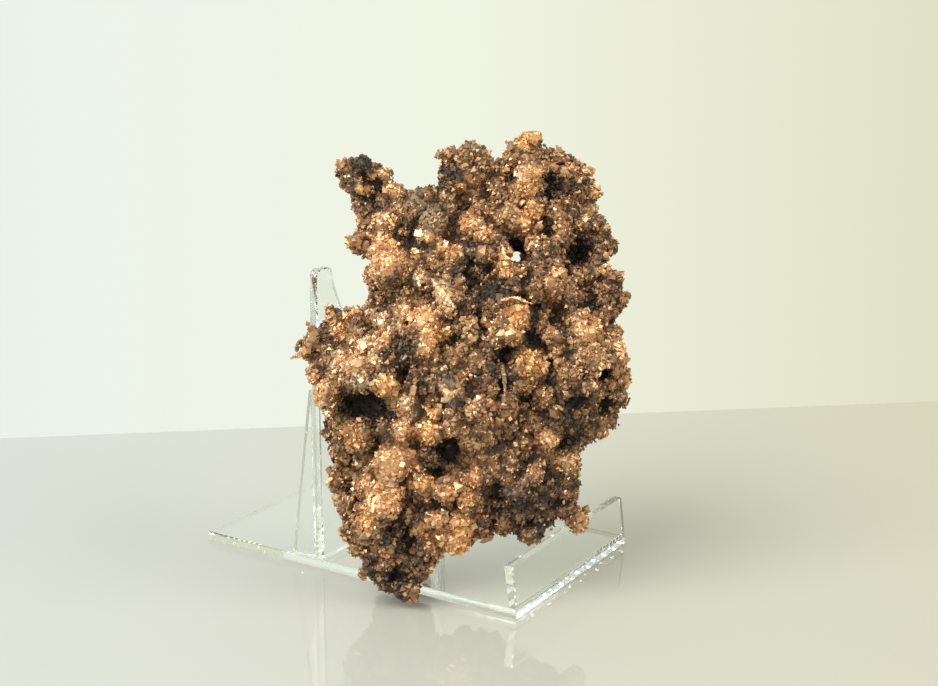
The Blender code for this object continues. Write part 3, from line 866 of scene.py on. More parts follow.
@dataclass
class NuggetSolid:
    """The nugget's solid from the row, read in the nugget's own millimetres."""

    axes: NuggetAxes
    pitch: float = 1.0
    smoothing: int = 24
    skin_depth: float = 1.5
    search_radius: float = 1.2
    search_slack: float = 0.1
    points: np.ndarray = field(init=False)
    normals: np.ndarray = field(init=False)
    triangles: np.ndarray = field(init=False)
    tree: BVHTree = field(init=False)

    def __post_init__(self) -> None:
        """Reads the solid and fuses it into an even skin."""
        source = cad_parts["nugget"]
        mesh = source.data.copy()
        matrix = Matrix(np.linalg.inv(self.axes.matrix()).tolist())
        mesh.transform(matrix @ source.matrix_world)
        corners = [vertex.co.copy() for vertex in mesh.vertices]
        self.tree = BVHTree.FromPolygons(corners, [list(face.vertices) for face in mesh.polygons])
        skin = fused(mesh, self.pitch)
        self.points, self.normals = vertex_arrays(skin)
        skin.calc_loop_triangles()
        faces = np.empty(len(skin.loop_triangles) * 3, dtype=np.int32)
        skin.loop_triangles.foreach_get("vertices", faces)
        self.triangles = faces.reshape(-1, 3)

    def depth(self, points: np.ndarray) -> np.ndarray:
        """How far each point lies from the solid's surface, in millimetres."""
        return np.array([self.tree.find_nearest(Vector(point))[3] for point in points])

    def thickness(self) -> np.ndarray:
        """How thick the solid is inwards from each point of its skin.

        Returns:
            One thickness in millimetres for each point.
        """
        found = []
        for point, normal in zip(self.points, self.normals):
            inwards = -Vector(normal)
            beyond = self.tree.ray_cast(Vector(point) + inwards * self.skin_depth, inwards)[3]
            found.append(self.skin_depth + (beyond or 0.0))
        return np.array(found)

    def bulge(self) -> np.ndarray:
        """How far each point of the skin stands out from the skin's smoothed form.

        Returns:
            One distance in millimetres for each point.
        """
        ends = np.concatenate([self.triangles[:, pair] for pair in ([0, 1], [1, 2], [2, 0])])
        count = np.bincount(ends.ravel(), minlength=len(self.points))[:, None]
        smoothed = self.points
        for _ in range(self.smoothing):
            total = np.zeros_like(smoothed)
            for axis in range(3):
                total[:, axis] += np.bincount(ends[:, 0], smoothed[ends[:, 1], axis], len(smoothed))
                total[:, axis] += np.bincount(ends[:, 1], smoothed[ends[:, 0], axis], len(smoothed))
            smoothed = total / count
        return ((self.points - smoothed) * self.normals).sum(axis=1)

    def near_index(self, x: float, z: float) -> int:
        """The skin's point near where a line through (x, z) first meets the near side.

        Args:
            x: the line's place across the broad face.
            z: its place along the nugget.

        Returns:
            The point's index.
        """
        away = away_from(x, z, self.points)
        within = np.flatnonzero(away < max(self.search_radius, away.min() + self.search_slack))
        return int(within[np.argmin(self.points[within, 1])])


@dataclass
class NuggetBody:
    """The fused copper under the crystals: the sunk solid with nodules all over it."""

    solid: NuggetSolid
    face: BroadFace
    finish: bpy.types.Material
    pitch: float = 0.95
    skin_pitch: float = 0.70
    sink: float = 3.0
    sink_change: float = 1.2
    sink_patch: float = 5.0
    most_sink: float = 5.2
    most_sink_share: float = 0.34
    spared_sink: float = 0.8
    spared_bulges: Span = (-0.8, -2.4)
    gap_size: float = 8.0
    gap_depth: float = 2.2
    gap_ridges: Span = (0.16, 0.04)
    nodule_radius: Span = (1.2, 3.0)
    nodule_patch: float = 12.0
    nodule_growth: float = 1.6
    nodule_share: float = 0.42
    nodule_spacing: float = 0.88
    nodule_dip: Span = (0.2, 1.6)
    nodule_stretch: Span = (0.85, 1.15)
    nodule_raggedness: Span = (0.88, 1.12)
    most_hollow: float = 1.5
    most_gap: float = 0.6
    least_bulge: float = 0.5
    hole_margin: float = 1.2
    hand_lightness: Span = (0.6, 1.0)
    neighbours: int = 6
    crease_slack: float = 0.4
    crease_ends: Span = (0.8, 0.1)
    crease_recess: float = 0.68
    recess_depths: Span = (1.3, 4.2)
    tint_levels: tuple[float, ...] = (0.42, 0.62, 0.45, 0.30)
    tint_step: float = 0.2
    tint_patch: float = 11.0
    shade_levels: Span = (0.05, 0.45)
    shade_patch: float = 18.0
    grain_tone: float = 0.62
    painted_shade_core_tone: float = 0.6
    seed: int = 5
    middles: np.ndarray = field(init=False)
    radii: np.ndarray = field(init=False)
    lightness: np.ndarray = field(init=False)

    def gaps(self, points: np.ndarray) -> np.ndarray:
        """How open the gaps between the clusters are at each point, from 0 to 1."""
        ridges = np.abs(layered_noise(points, self.gap_size, Pattern.GAPS))
        return smooth_step(*self.gap_ridges, ridges)

    def sunk(self, thickness: np.ndarray) -> np.ndarray:
        """How far each point of the solid's skin is sunk under the crystals.

        Args:
            thickness: the solid's thickness at each point.

        Returns:
            One depth in millimetres for each point.
        """
        points = self.solid.points
        depth = self.sink + self.sink_change * layered_noise(points, self.sink_patch, Pattern.SINKING)
        depth = depth + self.gap_depth * self.gaps(points) + self.face.hollow(points)
        depth = np.minimum(np.minimum(depth, self.most_sink), self.most_sink_share * thickness)
        return depth * (1.0 - self.spared_sink * smooth_step(*self.spared_bulges, self.solid.bulge()))

    def seeds(self, thickness: np.ndarray) -> tuple[np.ndarray, np.ndarray]:
        """Chooses where the nodules grow: the listed ones, then tips, then everywhere else.

        Args:
            thickness: the solid's thickness at each point of its skin.

        Returns:
            The chosen points' indices and the nodules' radii.
        """
        generator = np.random.default_rng(self.seed)
        points = self.solid.points
        low, high = self.nodule_radius
        size = 0.5 + 0.5 * layered_noise(points, self.nodule_patch, Pattern.NODULE_SIZES, layers=2)
        growth = size * generator.random(len(points)) * self.nodule_growth
        radius = np.minimum(low + (high - low) * np.clip(growth, 0.0, 1.0), self.nodule_share * thickness)
        bulge = self.solid.bulge()
        shut = self.face.in_hole(points, self.hole_margin * np.maximum(1.0, radius))
        shut |= self.face.hollow(points) > self.most_hollow
        shut |= (self.gaps(points) > self.most_gap) & (bulge < self.least_bulge)
        order = np.argsort(-bulge - generator.random(len(points)), kind="stable")
        by_hand = [self.solid.near_index(x, z) for x, z, _, _ in self.face.nodules]
        radius[by_hand] = [row[2] for row in self.face.nodules]
        chosen = self.spaced(by_hand, order[~shut[order]], radius)
        return np.array(chosen), radius[chosen]

    def spaced(self, by_hand: list[int], others: np.ndarray, radius: np.ndarray) -> list[int]:
        """Adds as many nodules to the listed ones as there is room for.

        Args:
            by_hand: the points of the listed nodules, which all stay.
            others: the points where more may grow, the best ones first.
            radius: the radius that a nodule has at each point.

        Returns:
            The chosen points' indices.
        """
        points = self.solid.points
        cells = (points // (2.0 * self.nodule_radius[1])).astype(int)
        steps = np.array(list(np.ndindex(3, 3, 3))) - 1
        grid: dict[tuple[int, ...], list[int]] = {}
        chosen: list[int] = []
        for index in [*by_hand, *others]:
            near_cells = map(tuple, (cells[index] + steps).tolist())
            around = [other for cell in near_cells for other in grid.get(cell, ())]
            away = np.linalg.norm(points[around] - points[index], axis=1)
            crowded = (away < self.nodule_spacing * (radius[around] + radius[index])).any()
            if len(chosen) < len(by_hand) or not crowded:
                grid.setdefault(tuple(cells[index].tolist()), []).append(index)
                chosen.append(index)
        return chosen

    def ball(self) -> tuple[np.ndarray, np.ndarray]:
        """A round shape of radius 1.

        Returns:
            Its corners and its triangles.
        """
        mesh = bmesh.new()
        bmesh.ops.create_icosphere(mesh, subdivisions=2, radius=1.0)
        corners = np.array([tuple(vertex.co) for vertex in mesh.verts])
        faces = np.array([[vertex.index for vertex in face.verts] for face in mesh.faces])
        mesh.free()
        return corners, faces

    def sculpt(self) -> bpy.types.Mesh:
        """The sunk solid with its nodules, as closed shapes that overlap.

        Returns:
            The mesh, in the nugget's millimetres.
        """
        points, normals = self.solid.points, self.solid.normals
        thickness = self.solid.thickness()
        core = points - normals * self.sunk(thickness)[:, None]
        chosen, radius = self.seeds(thickness)
        LOG.info("nodules: %d", len(chosen))
        generator = np.random.default_rng(self.seed + 1)
        dip = generator.uniform(*self.nodule_dip, len(chosen))
        by_hand = len(self.face.nodules)
        dip[:by_hand] = 0.0
        middles = points[chosen] - normals[chosen] * (radius + dip)[:, None]
        self.middles, self.radii = middles, radius
        self.lightness = generator.random(len(chosen))
        low, high = self.hand_lightness
        self.lightness[:by_hand] = low + (high - low) * self.lightness[:by_hand]
        corners, faces = self.ball()
        shapes = corners[None] * generator.uniform(*self.nodule_stretch, (len(chosen), 1, 3))
        shapes = shapes * generator.uniform(*self.nodule_raggedness, (len(chosen), len(corners), 1))
        balls = (shapes * radius[:, None, None] + middles[:, None]).reshape(-1, 3)
        ball_faces = repeated(faces, len(corners), len(chosen), len(core))
        triangles = np.concatenate([self.solid.triangles, ball_faces])
        return mesh_of("nugget_body", np.concatenate([core, balls]), triangles)

    def lumps(self, points: np.ndarray) -> tuple[np.ndarray, np.ndarray]:
        """Which nodule each point lies on, and how deep it lies in the crease beside it.

        Args:
            points: points in the nugget's millimetres.

        Returns:
            The lightness of each point's nodule, and values from 0 on a nodule to 1 in a crease.
        """
        tree = KDTree(len(self.middles))
        for index, middle in enumerate(self.middles):
            tree.insert(middle, index)
        tree.balance()
        light, crease = np.empty(len(points)), np.empty(len(points))
        for number, point in enumerate(points):
            around = tree.find_n(point, self.neighbours)
            (first, nearest), (second, _), *_ = sorted((away - self.radii[i], i) for _, i, away in around)
            light[number] = self.lightness[nearest]
            crease[number] = second - first - max(0.0, first - self.crease_slack)
        return light, smooth_step(*self.crease_ends, crease)

    def tints(self, points: np.ndarray) -> list[np.ndarray]:
        """How strong each patch of colour is: listed on the near side, by chance on the far side.

        Args:
            points: points in the nugget's millimetres.

        Returns:
            An array of one number for each point, for each of the mixed tints.
        """
        far_side = 1.0 - self.face.near_side(points)
        found = []
        for tint, level in zip(MIXED_TINTS, self.tint_levels):
            noise = layered_noise(points, self.tint_patch, Pattern.TINTS + tint.value)
            chance = smooth_step(level, level + self.tint_step, noise)
            found.append(np.maximum(self.face.tint(points, tint), far_side * chance))
        return found

    def shade(self, points: np.ndarray) -> np.ndarray:
        """How much painted shade each point gets on the near side, and how dark its random patch is on the
        far side.

        Args:
            points: points in the nugget's millimetres.

        Returns:
            Values from 0 to 1.
        """
        far_side = 1.0 - self.face.near_side(points)
        chance = smooth_step(*self.shade_levels, layered_noise(points, self.shade_patch, Pattern.SHADE))
        return np.maximum(self.face.shade(points), far_side * chance)

    def recess(self, points: np.ndarray) -> np.ndarray:
        """How deep each point lies in a gap or a hollow, from 0 to 1."""
        return smooth_step(*self.recess_depths, self.solid.depth(points))

    def grain(self, points: np.ndarray, seed: int) -> list[np.ndarray]:
        """The tone, recess, hue and shade of each point, for the finish; recess darkens for dark oxide and
        painted shade.

        Args:
            points: points in the nugget's millimetres.
            seed: a number that gives other tones and hues.

        Returns:
            Four arrays of one number for each point.
        """
        tone, hue = np.random.default_rng(seed).random((2, len(points)))
        light, crease = self.lumps(points)
        # Recess and crease darken the finish: dark oxide in the gaps, and painted shade where light would not
        # reach.
        recess = np.maximum(self.recess(points), self.crease_recess * crease)
        tone = self.grain_tone * tone + (1.0 - self.grain_tone) * light
        return [tone, recess, hue, self.shade(points)]

    def build(self) -> tuple[bpy.types.Object, np.ndarray, np.ndarray]:
        """Makes the piece.

        Returns:
            The nugget's body, standing for the nugget's solid, and the points and normals of a finer skin of
            the same form, in the nugget's millimetres.
        """
        shapes = self.sculpt()
        mesh = fused(shapes, self.pitch)
        points = vertex_arrays(mesh)[0]
        colour_attribute(mesh, "tints", self.tints(points))
        tone, *others = self.grain(points, self.seed + 2)
        # The body's tone is lowered as painted shade, since it shows mostly in the gaps between crystals.
        colour_attribute(mesh, "grain", [self.painted_shade_core_tone * tone, *others])
        mesh.vertices.foreach_set("co", clear_of_easel(self.solid.axes.to_row(points)).ravel())
        mesh.update()
        mesh.shade_flat()
        skin = fused(shapes, self.skin_pitch)
        return dressed_piece("nugget_body", mesh, self.finish), *vertex_arrays(skin)


@dataclass
class CrystalCrust:
    """Small flat-faced crystals grown all over the nugget's body, in a few joined pieces."""

    body: NuggetBody
    finish: bpy.types.Material
    grains: int = 68000
    piece_count: int = 4
    half_size: float = 0.74
    size_span: Span = (0.55, 1.3)
    size_bias: float = 1.5
    size_change: float = 0.25
    size_patch: float = 9.0
    coarse_share: float = 0.04
    coarse_growth: float = 1.6
    fine_spots: tuple[Place, ...] = ((12, -32, 9), (24, -44, 14), (42, -14, 9), (44, 46, 9), (34, 14, 5))
    fine_ends: Span = (1.3, 0.6)
    fine_shrinkage: float = 0.3
    spread: float = 0.30
    rise: float = 0.15
    lean: float = 0.45
    stretch: Span = (0.48, 1.60)
    raggedness: Span = (0.85, 1.15)
    form_shares: tuple[float, ...] = (0.46, 0.16, 0.20, 0.18)
    hole_margin: float = 0.4
    cell_share: float = 0.3
    seed: int = 11
    form_seed: int = 111
    grain_seed: int = 211

    def turns(self, generator: np.random.Generator, normals: np.ndarray) -> np.ndarray:
        """A random turn for each crystal, loosely standing on the skin.

        Args:
            generator: the source of chance.
            normals: the skin's normal at each crystal.

        Returns:
            An N by 3 by 3 array whose columns are each crystal's axes.
        """
        up = normals + generator.normal(0.0, self.lean, normals.shape)
        up /= np.linalg.norm(up, axis=1)[:, None]
        side = np.cross(up, generator.normal(0.0, 1.0, normals.shape))
        side /= np.linalg.norm(side, axis=1)[:, None]
        return np.stack([side, np.cross(up, side), up], axis=2)

    def sizes(self, generator: np.random.Generator, points: np.ndarray) -> np.ndarray:
        """Each crystal's half size in millimetres: finer in some zones, with a few coarse ones.

        Args:
            generator: the source of chance.
            points: the crystals' places in the nugget's millimetres.

        Returns:
            One half size for each crystal.
        """
        low, high = self.size_span
        sizes = self.half_size * (low + (high - low) * generator.random(len(points)) ** self.size_bias)
        sizes *= 1.0 + self.size_change * layered_noise(points, self.size_patch, Pattern.CRYSTAL_SIZES)
        outer, inner = self.fine_ends
        for x, z, radius in self.fine_spots:
            fine = smooth_step(outer * radius, inner * radius, away_from(x, z, points))
            sizes *= 1.0 - self.fine_shrinkage * fine
        coarse = generator.random(len(points)) < self.coarse_share
        return np.where(coarse, sizes * self.coarse_growth, sizes)

    def cell_map(self, mesh: bpy.types.Mesh, owners: np.ndarray, own_corners: np.ndarray, count: int) -> None:
        """Gives each crystal a small square of its own in the texture map.

        Args:
            mesh: the crust piece.
            owners: the crystal that each vertex belongs to.
            own_corners: each vertex's place in its crystal's own axes, in crystal sizes.
            count: how many crystals the piece has.
        """
        across = math.ceil(math.sqrt(count))
        cell = np.stack([owners % across, owners // across], axis=1)
        places = (cell + 0.5 + self.cell_share * own_corners[:, :2]) / across
        loops = np.empty(len(mesh.loops), dtype=np.int32)
        mesh.loops.foreach_get("vertex_index", loops)
        layer = mesh.uv_layers.new(name="OFBake")
        layer.uv.foreach_set("vector", places[loops].astype(np.float32).ravel())

    def piece(self, index: int, places: np.ndarray, turns: np.ndarray, sizes: np.ndarray) -> bpy.types.Object:
        """One joined piece of crust.

        Args:
            index: the piece's number.
            places: the crystals' middles in the nugget's millimetres.
            turns: their axes.
            sizes: their half sizes in millimetres.

        Returns:
            The new piece.
        """
        generator = np.random.default_rng(self.form_seed + index)
        forms = generator.choice(len(GrainForm), len(places), p=self.form_shares)
        points, triangles, owners, own = [], [], [], []
        total = 0
        for form in GrainForm:
            chosen = np.flatnonzero(forms == form.value)
            corners, faces = form.corners(), form.triangles()
            shaped = corners * generator.uniform(*self.stretch, (len(chosen), 1, 3))
            shaped = shaped * generator.uniform(*self.raggedness, (len(chosen), len(corners), 1))
            turned = np.einsum("nij,nkj->nki", turns[chosen], shaped) * sizes[chosen, None, None]
            points.append((turned + places[chosen, None]).reshape(-1, 3))
            triangles.append(repeated(faces, len(corners), len(chosen), total))
            owners.append(np.repeat(chosen, len(corners)))
            own.append(shaped.reshape(-1, 3))
            total += len(chosen) * len(corners)
        owner = np.concatenate(owners)
        in_row = clear_of_easel(self.body.solid.axes.to_row(np.concatenate(points)))
        mesh = mesh_of(f"nugget_crust_{index}", in_row, np.concatenate(triangles))
        grain = self.body.grain(places, self.grain_seed + index)
        colour_attribute(mesh, "tints", [column[owner] for column in self.body.tints(places)])
        colour_attribute(mesh, "grain", [column[owner] for column in grain])
        self.cell_map(mesh, owner, np.concatenate(own), len(places))
        return dressed_piece(f"nugget_crust_{index}", mesh, self.finish)

    def build(self, points: np.ndarray, normals: np.ndarray) -> list[bpy.types.Object]:
        """Makes the crust.

        Args:
            points: the skin's points that crystals may grow on, in the nugget's millimetres.
            normals: the skin's normals there.

        Returns:
            The crust's pieces.
        """
        generator = np.random.default_rng(self.seed)
        chosen = generator.choice(len(points), min(self.grains, len(points)), replace=False)
        points, normals = points[chosen], normals[chosen]
        sizes = self.sizes(generator, points)
        places = points + generator.normal(0.0, self.spread, points.shape)
        places += normals * (self.rise * sizes)[:, None]
        turns = self.turns(generator, normals)
        in_row = self.body.solid.axes.to_row(places)
        free = np.all(clear_of_easel(in_row) == in_row, axis=1)
        kept = np.flatnonzero(free & ~self.body.face.in_hole(places, self.hole_margin * sizes))
        order = kept[np.argsort(places[kept, 2], kind="stable")]
        shares = np.array_split(order, self.piece_count)
        return [self.piece(i + 1, places[s], turns[s], sizes[s]) for i, s in enumerate(shares)]


@dataclass
class LargeCrystals:
    """Crystals big enough to be seen alone: blades and plates on the near face, and spikes on the rim.

    Each row holds a crystal's place, x and z, its half length, its half width, its direction in degrees from
    x towards z, and its colour.
    """

    body: NuggetBody
    finish: bpy.types.Material
    crystals: tuple[tuple[float, float, float, float, float, Tint], ...] = (
        (13.3, 32.8, 4.0, 1.7, 100, Tint.GOLD), (-6.3, 23.2, 4.2, 1.2, 125, Tint.CREAM),
        (-3.8, 20.4, 3.2, 1.0, -50, Tint.CREAM), (-13.2, 27.0, 2.8, 0.9, 105, Tint.CREAM),
        (13.9, 20.4, 3.0, 0.8, 15, Tint.TAN), (18.6, 20.2, 3.2, 0.8, -20, Tint.TAN),
        (17.2, 16.4, 3.6, 2.0, -75, Tint.GOLD), (14.9, 10.0, 4.6, 1.5, 8, Tint.TAN),
        (13.2, -4.6, 4.2, 0.8, -88, Tint.SLATE), (21.0, 1.8, 3.8, 1.6, 70, Tint.GOLD),
        (-3.0, -8.2, 3.6, 1.2, 35, Tint.CREAM), (-9.8, 40.8, 2.6, 1.8, 160, Tint.TAN),
        (20.8, 57.2, 3.4, 1.6, -80, Tint.GOLD), (2.4, 12.0, 2.6, 0.9, 40, Tint.TAN),
        (-14.2, -6.4, 3.0, 1.1, 75, Tint.TAN), (-9.0, -13.6, 3.2, 1.3, 140, Tint.GOLD),
        (-40.6, 15.4, 4.0, 1.9, 118, Tint.TAN), (-46.4, 10.6, 4.0, 1.9, 122, Tint.TAN),
        (-49.6, 4.4, 4.2, 1.6, 216, Tint.TAN), (-34.2, 39.6, 2.4, 1.6, 170, Tint.TAN),
        (-29.4, 27.6, 2.4, 1.5, 155, Tint.TAN), (-37.4, 63.4, 2.2, 1.8, 140, Tint.TAN),
        (-6.4, 66.6, 2.0, 1.6, 110, Tint.TAN), (15.6, 68.6, 2.4, 1.6, 125, Tint.SLATE),
        (23.6, 71.4, 2.8, 1.5, 55, Tint.GOLD), (31.0, 67.8, 2.2, 1.7, 95, Tint.TAN),
        (38.0, -47.6, 3.0, 1.9, -60, Tint.TAN), (-14.6, -71.4, 3.0, 1.9, -75, Tint.TAN),
        (51.2, 20.6, 2.0, 1.5, 30, Tint.TAN),
    )
    links: int = 7
    link_length: float = 1.35
    link_growth: float = 0.35
    link_breadth: Span = (0.8, 1.15)
    cube_share: float = 0.3
    raggedness: Span = (0.85, 1.2)
    wander: float = 0.16
    taper: float = 0.6
    flatness: float = 0.55
    twist: float = 0.3
    lean: float = 0.2
    rise: float = 0.2
    tones: Span = (0.45, 0.85)
    rim: float = 38.0
    rim_height: float = 0.7
    rim_dimming: float = 0.3
    seed: int = 31

    def chain(
        self, generator: np.random.Generator, length: float, width: float
    ) -> tuple[np.ndarray, np.ndarray]:
        """A row of crystals grown into each other along x, thinning towards its far end.

        Args:
            generator: the source of chance.
            length: half the row's length.
            width: half its width at the root.

        Returns:
            The row's points, with its breadth along z and its thickness along y, and its triangles.
        """
        points, triangles = [], []
        for place in np.linspace(-1.0, 1.0, self.links):
            form = GrainForm.CUBE if generator.random() < self.cube_share else GrainForm.OCTAHEDRON
            corners = form.corners() * generator.uniform(*self.raggedness, (len(form.corners()), 1))
            breadth = width * (1.0 - self.taper * max(0.0, place)) * generator.uniform(*self.link_breadth)
            reach = self.link_length * length / self.links + self.link_growth * breadth
            corners = corners * (reach, self.flatness * breadth, breadth)
            triangles.append(form.triangles() + sum(len(part) for part in points))
            aside = generator.normal(0.0, self.wander * width, 2)
            points.append(corners + (place * (length - breadth), *aside))
        return np.concatenate(points), np.concatenate(triangles)

    def build(self) -> bpy.types.Object:
        """Makes the piece.

        Returns:
            All the large crystals, joined.
        """
        generator = np.random.default_rng(self.seed)
        solid = self.body.solid
        points, triangles, tints, grains = [], [], [], []
        for x, z, length, width, roll, tint in self.crystals:
            root = solid.points[solid.near_index(x, z)]
            local, faces = self.chain(generator, length, width)
            twist, lean = generator.normal(0.0, (self.twist, self.lean))
            turn = Euler((twist, -math.radians(roll), lean)).to_matrix()
            local = local @ np.array(turn).T + (x, root[1] - self.rise * width, z)
            triangles.append(faces + sum(len(part) for part in points))
            points.append(local)
            tints += [[float(tint is kind) for kind in MIXED_TINTS]] * len(local)
            tones = generator.uniform(*self.tones, len(local))
            if math.hypot(x, self.rim_height * z) > self.rim:
                tones -= self.rim_dimming
            grains += [(tone, 0.0, generator.random(), 0.0) for tone in tones]
        in_row = clear_of_easel(solid.axes.to_row(np.concatenate(points)))
        mesh = mesh_of("nugget_large_crystals", in_row, np.concatenate(triangles))
        colour_attribute(mesh, "tints", np.array(tints).T)
        colour_attribute(mesh, "grain", np.array(grains).T)
        return dressed_piece("nugget_large_crystals", mesh, self.finish)


@dataclass
class DisplayEasel:
    """The clear acrylic easel: its solids keep their shape and get the acrylic finish."""

    finish: bpy.types.Material
    nodes: tuple[str, ...] = (
        "stand_base", "stand_lip", "stand_back", "stand_gusset_near", "stand_gusset_far",
    )

    def dress(self) -> list[bpy.types.Object]:
        """Gives every sheet of the easel its finish, and lets light through it.

        Returns:
            The dressed sheets.
        """
        sheets = [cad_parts[name] for name in self.nodes]
        for sheet in sheets:
            sheet.data.materials.clear()
            sheet.data.materials.append(self.finish)
            sheet.visible_shadow = False
            sheet.visible_diffuse = False
        return sheets


@dataclass
class Studio:
    """The table, the soft light and the camera, which looks square at the nugget's broad face.

    Each lamp's row holds its name, its place in metres from the object's middle, its side, its power and its
    colour.
    """

    table_finish: bpy.types.Material
    table_size: Span = (2.0, 1.4)
    table_thickness: float = 0.03
    table_drop: float = 0.0001
    table_rounding: float = 0.0015
    rounding_steps: int = 3
    rear_edge: Place = (179.9, 120.8, 0.0)
    rear_edge_turn: float = math.radians(-49.94)
    backdrop: tuple[tuple[float, Colour], ...] = (
        (0.0, (0.835, 0.895, 0.815)), (0.45, (0.875, 0.905, 0.765)), (1.0, (0.735, 0.73, 0.535)),
    )
    backdrop_direction: Place = (0.53, -0.85, 0.0)
    backdrop_ends: Span = (-0.30, 0.34)
    ambient: Colour = (1.0, 0.99, 0.95)
    ambient_strength: float = 0.76
    eye: Place = (-364.5, -212.9, 193.0)
    heading: float = NuggetAxes.turn
    pitch: float = NuggetAxes.lean
    lens: float = 56.34
    sensor_width: float = 36.0
    nearest_seen: float = 0.01
    lamps: tuple[tuple[str, Place, float, float, Colour], ...] = (
        ("key", (-1.75, 0.55, 1.75), 1.9, 78.0, (1.0, 0.97, 0.90)),
        ("fill", (0.3, -1.9, 0.9), 1.3, 22.0, (1.0, 0.95, 0.86)),
    )
    most_bounces: int = 48

    def table(self) -> bpy.types.Object:
        """Makes the table top under the easel, with its rear edge close behind.

        Returns:
            The table top.
        """
        bpy.ops.mesh.primitive_cube_add(size=1.0)
        top = bpy.context.object
        top.name = "table_top"
        length, depth = self.table_size
        turned = Matrix.Rotation(self.rear_edge_turn, 4, "Z")
        middle = from_foot(self.rear_edge) - turned @ Vector((0.0, depth / 2, 0.0))
        middle.z = -self.table_thickness / 2 - self.table_drop
        top.data.transform(Matrix.Diagonal((length, depth, self.table_thickness, 1.0)))
        top.matrix_world = Matrix.Translation(middle) @ turned
        bevel = top.modifiers.new("Rounded edge", "BEVEL")
        bevel.width = self.table_rounding
        bevel.segments = self.rounding_steps
        top.data.materials.append(self.table_finish)
        return top

    def world(self) -> None:
        """Makes the pale surroundings: a backdrop that the camera sees, and a soft light from all round."""
        world = bpy.data.worlds.new("studio")
        bpy.context.scene.world = world
        world.use_nodes = True
        tree = world.node_tree
        tree.nodes.clear()
        across = tree.nodes.new("ShaderNodeVectorMath")
        across.operation = "DOT_PRODUCT"
        across.inputs[1].default_value = self.backdrop_direction
        direction = tree.nodes.new("ShaderNodeTexCoord")
        tree.links.new(direction.outputs["Generated"], across.inputs[0])
        share = tree.nodes.new("ShaderNodeMapRange")
        share.inputs["From Min"].default_value, share.inputs["From Max"].default_value = self.backdrop_ends
        tree.links.new(across.outputs["Value"], share.inputs["Value"])
        blend = tree.nodes.new("ShaderNodeValToRGB")
        blend.color_ramp.elements.new(0.5)
        for element, (position, colour) in zip(blend.color_ramp.elements, self.backdrop):
            element.position = position
            element.color = (*colour, 1.0)
        tree.links.new(share.outputs["Result"], blend.inputs["Fac"])
        seen = tree.nodes.new("ShaderNodeBackground")
        tree.links.new(blend.outputs["Color"], seen.inputs["Color"])
        light = tree.nodes.new("ShaderNodeBackground")
        light.inputs["Color"].default_value = (*self.ambient, 1.0)
        light.inputs["Strength"].default_value = self.ambient_strength
        path = tree.nodes.new("ShaderNodeLightPath")
        mix = tree.nodes.new("ShaderNodeMixShader")
        output = tree.nodes.new("ShaderNodeOutputWorld")
        tree.links.new(path.outputs["Is Diffuse Ray"], mix.inputs["Fac"])
        tree.links.new(seen.outputs["Background"], mix.inputs[1])
        tree.links.new(light.outputs["Background"], mix.inputs[2])
        tree.links.new(mix.outputs["Shader"], output.inputs["Surface"])

    def area_light(
        self, name: str, place: Place, size: float, power: float, colour: Colour
    ) -> bpy.types.Object:
        """Makes a square soft light that faces the object.

        Args:
            name: the light's name.
            place: where it stands, in metres from the object's middle.
            size: its side in metres.
            power: its power in watts.
            colour: its colour.

        Returns:
            The light.
        """
        low, high = CAD_BOX
        data = bpy.data.lights.new(name, "AREA")
        data.size = size
        data.energy = power
        data.color = colour
        light = bpy.data.objects.new(name, data)
        light.location = (low + high) / 2 + Vector(place)
        light.rotation_mode = "QUATERNION"
        light.rotation_quaternion = (-Vector(place)).to_track_quat("-Z", "Y")
        bpy.context.scene.collection.objects.link(light)
        return light

    def link_to(self, light: bpy.types.Object, table: bpy.types.Object, state: str) -> None:
        """Makes a light fall on the table alone, or on everything but the table.

        Args:
            light: the light to link.
            table: the table top.
            state: INCLUDE for the table alone, EXCLUDE for everything else.
        """
        receivers = bpy.data.collections.new(f"{light.name}_receivers")
        receivers.objects.link(table)
        receivers.collection_objects[0].light_linking.link_state = state
        light.light_linking.receiver_collection = receivers

    def lights(self, table: bpy.types.Object) -> None:
        """Makes the key light from the camera's upper left and a weak fill from its right.

        The table has a twin of each, which its polish doesn't mirror.

        Args:
            table: the table top.
        """
        for name, *settings in self.lamps:
            self.link_to(self.area_light(name, *settings), table, "EXCLUDE")
            twin = self.area_light(f"{name}_on_table", *settings)
            twin.visible_glossy = False
            self.link_to(twin, table, "INCLUDE")

    def camera(self) -> bpy.types.Object:
        """Makes the camera.

        Returns:
            The camera, set as the scene's own.
        """
        data = bpy.data.cameras.new("camera")
        data.lens = self.lens
        data.sensor_width = self.sensor_width
        data.clip_start = self.nearest_seen
        camera = bpy.data.objects.new("camera", data)
        camera.location = from_foot(self.eye)
        camera.rotation_euler = (math.pi / 2 + self.pitch, 0.0, self.heading)
        bpy.context.scene.collection.objects.link(camera)
        bpy.context.scene.camera = camera
        return camera

    def build(self) -> None:
        """Makes the studio, with the plain view transform and enough bounces for light inside a sheet."""
        scene = bpy.context.scene
        scene.view_settings.view_transform = "Standard"
        scene.cycles.max_bounces = self.most_bounces
        scene.cycles.glossy_bounces = self.most_bounces
        scene.cycles.transmission_bounces = self.most_bounces
        table = self.table()
        self.world()
        self.lights(table)
        self.camera()


def report_pieces(label: str, pieces: Iterable[bpy.types.Object]) -> None:
    """Logs each piece's name and triangle count.

    Args:
        label: what the pieces belong to.
        pieces: the pieces.
    """
    for piece in pieces:
        piece.data.calc_loop_triangles()
        LOG.info("%s: %s, %d triangles", label, piece.name, len(piece.data.loop_triangles))


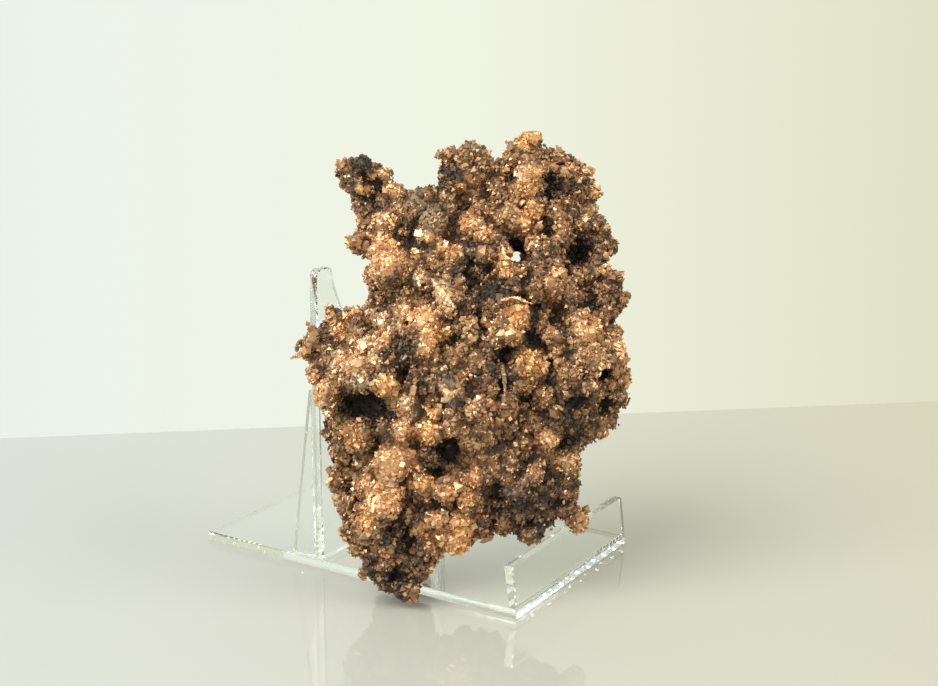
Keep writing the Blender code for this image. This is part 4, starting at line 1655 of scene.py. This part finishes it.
def main() -> None:
    """Builds the nugget, dresses the easel and sets up the studio."""
    logging.basicConfig(level=logging.INFO, format="%(name)s: %(message)s")
    copper = TarnishedCopper().build()
    body = NuggetBody(NuggetSolid(NuggetAxes()), BroadFace(), copper)
    core, points, normals = body.build()
    report_pieces("nugget", [core])
    report_pieces("crust", CrystalCrust(body, copper).build(points, normals))
    report_pieces("crystals", [LargeCrystals(body, copper).build()])
    report_pieces("easel", DisplayEasel(ClearAcrylic().build()).dress())
    Studio(GlossyTable().build()).build()


if __name__ == "__main__":
    main()
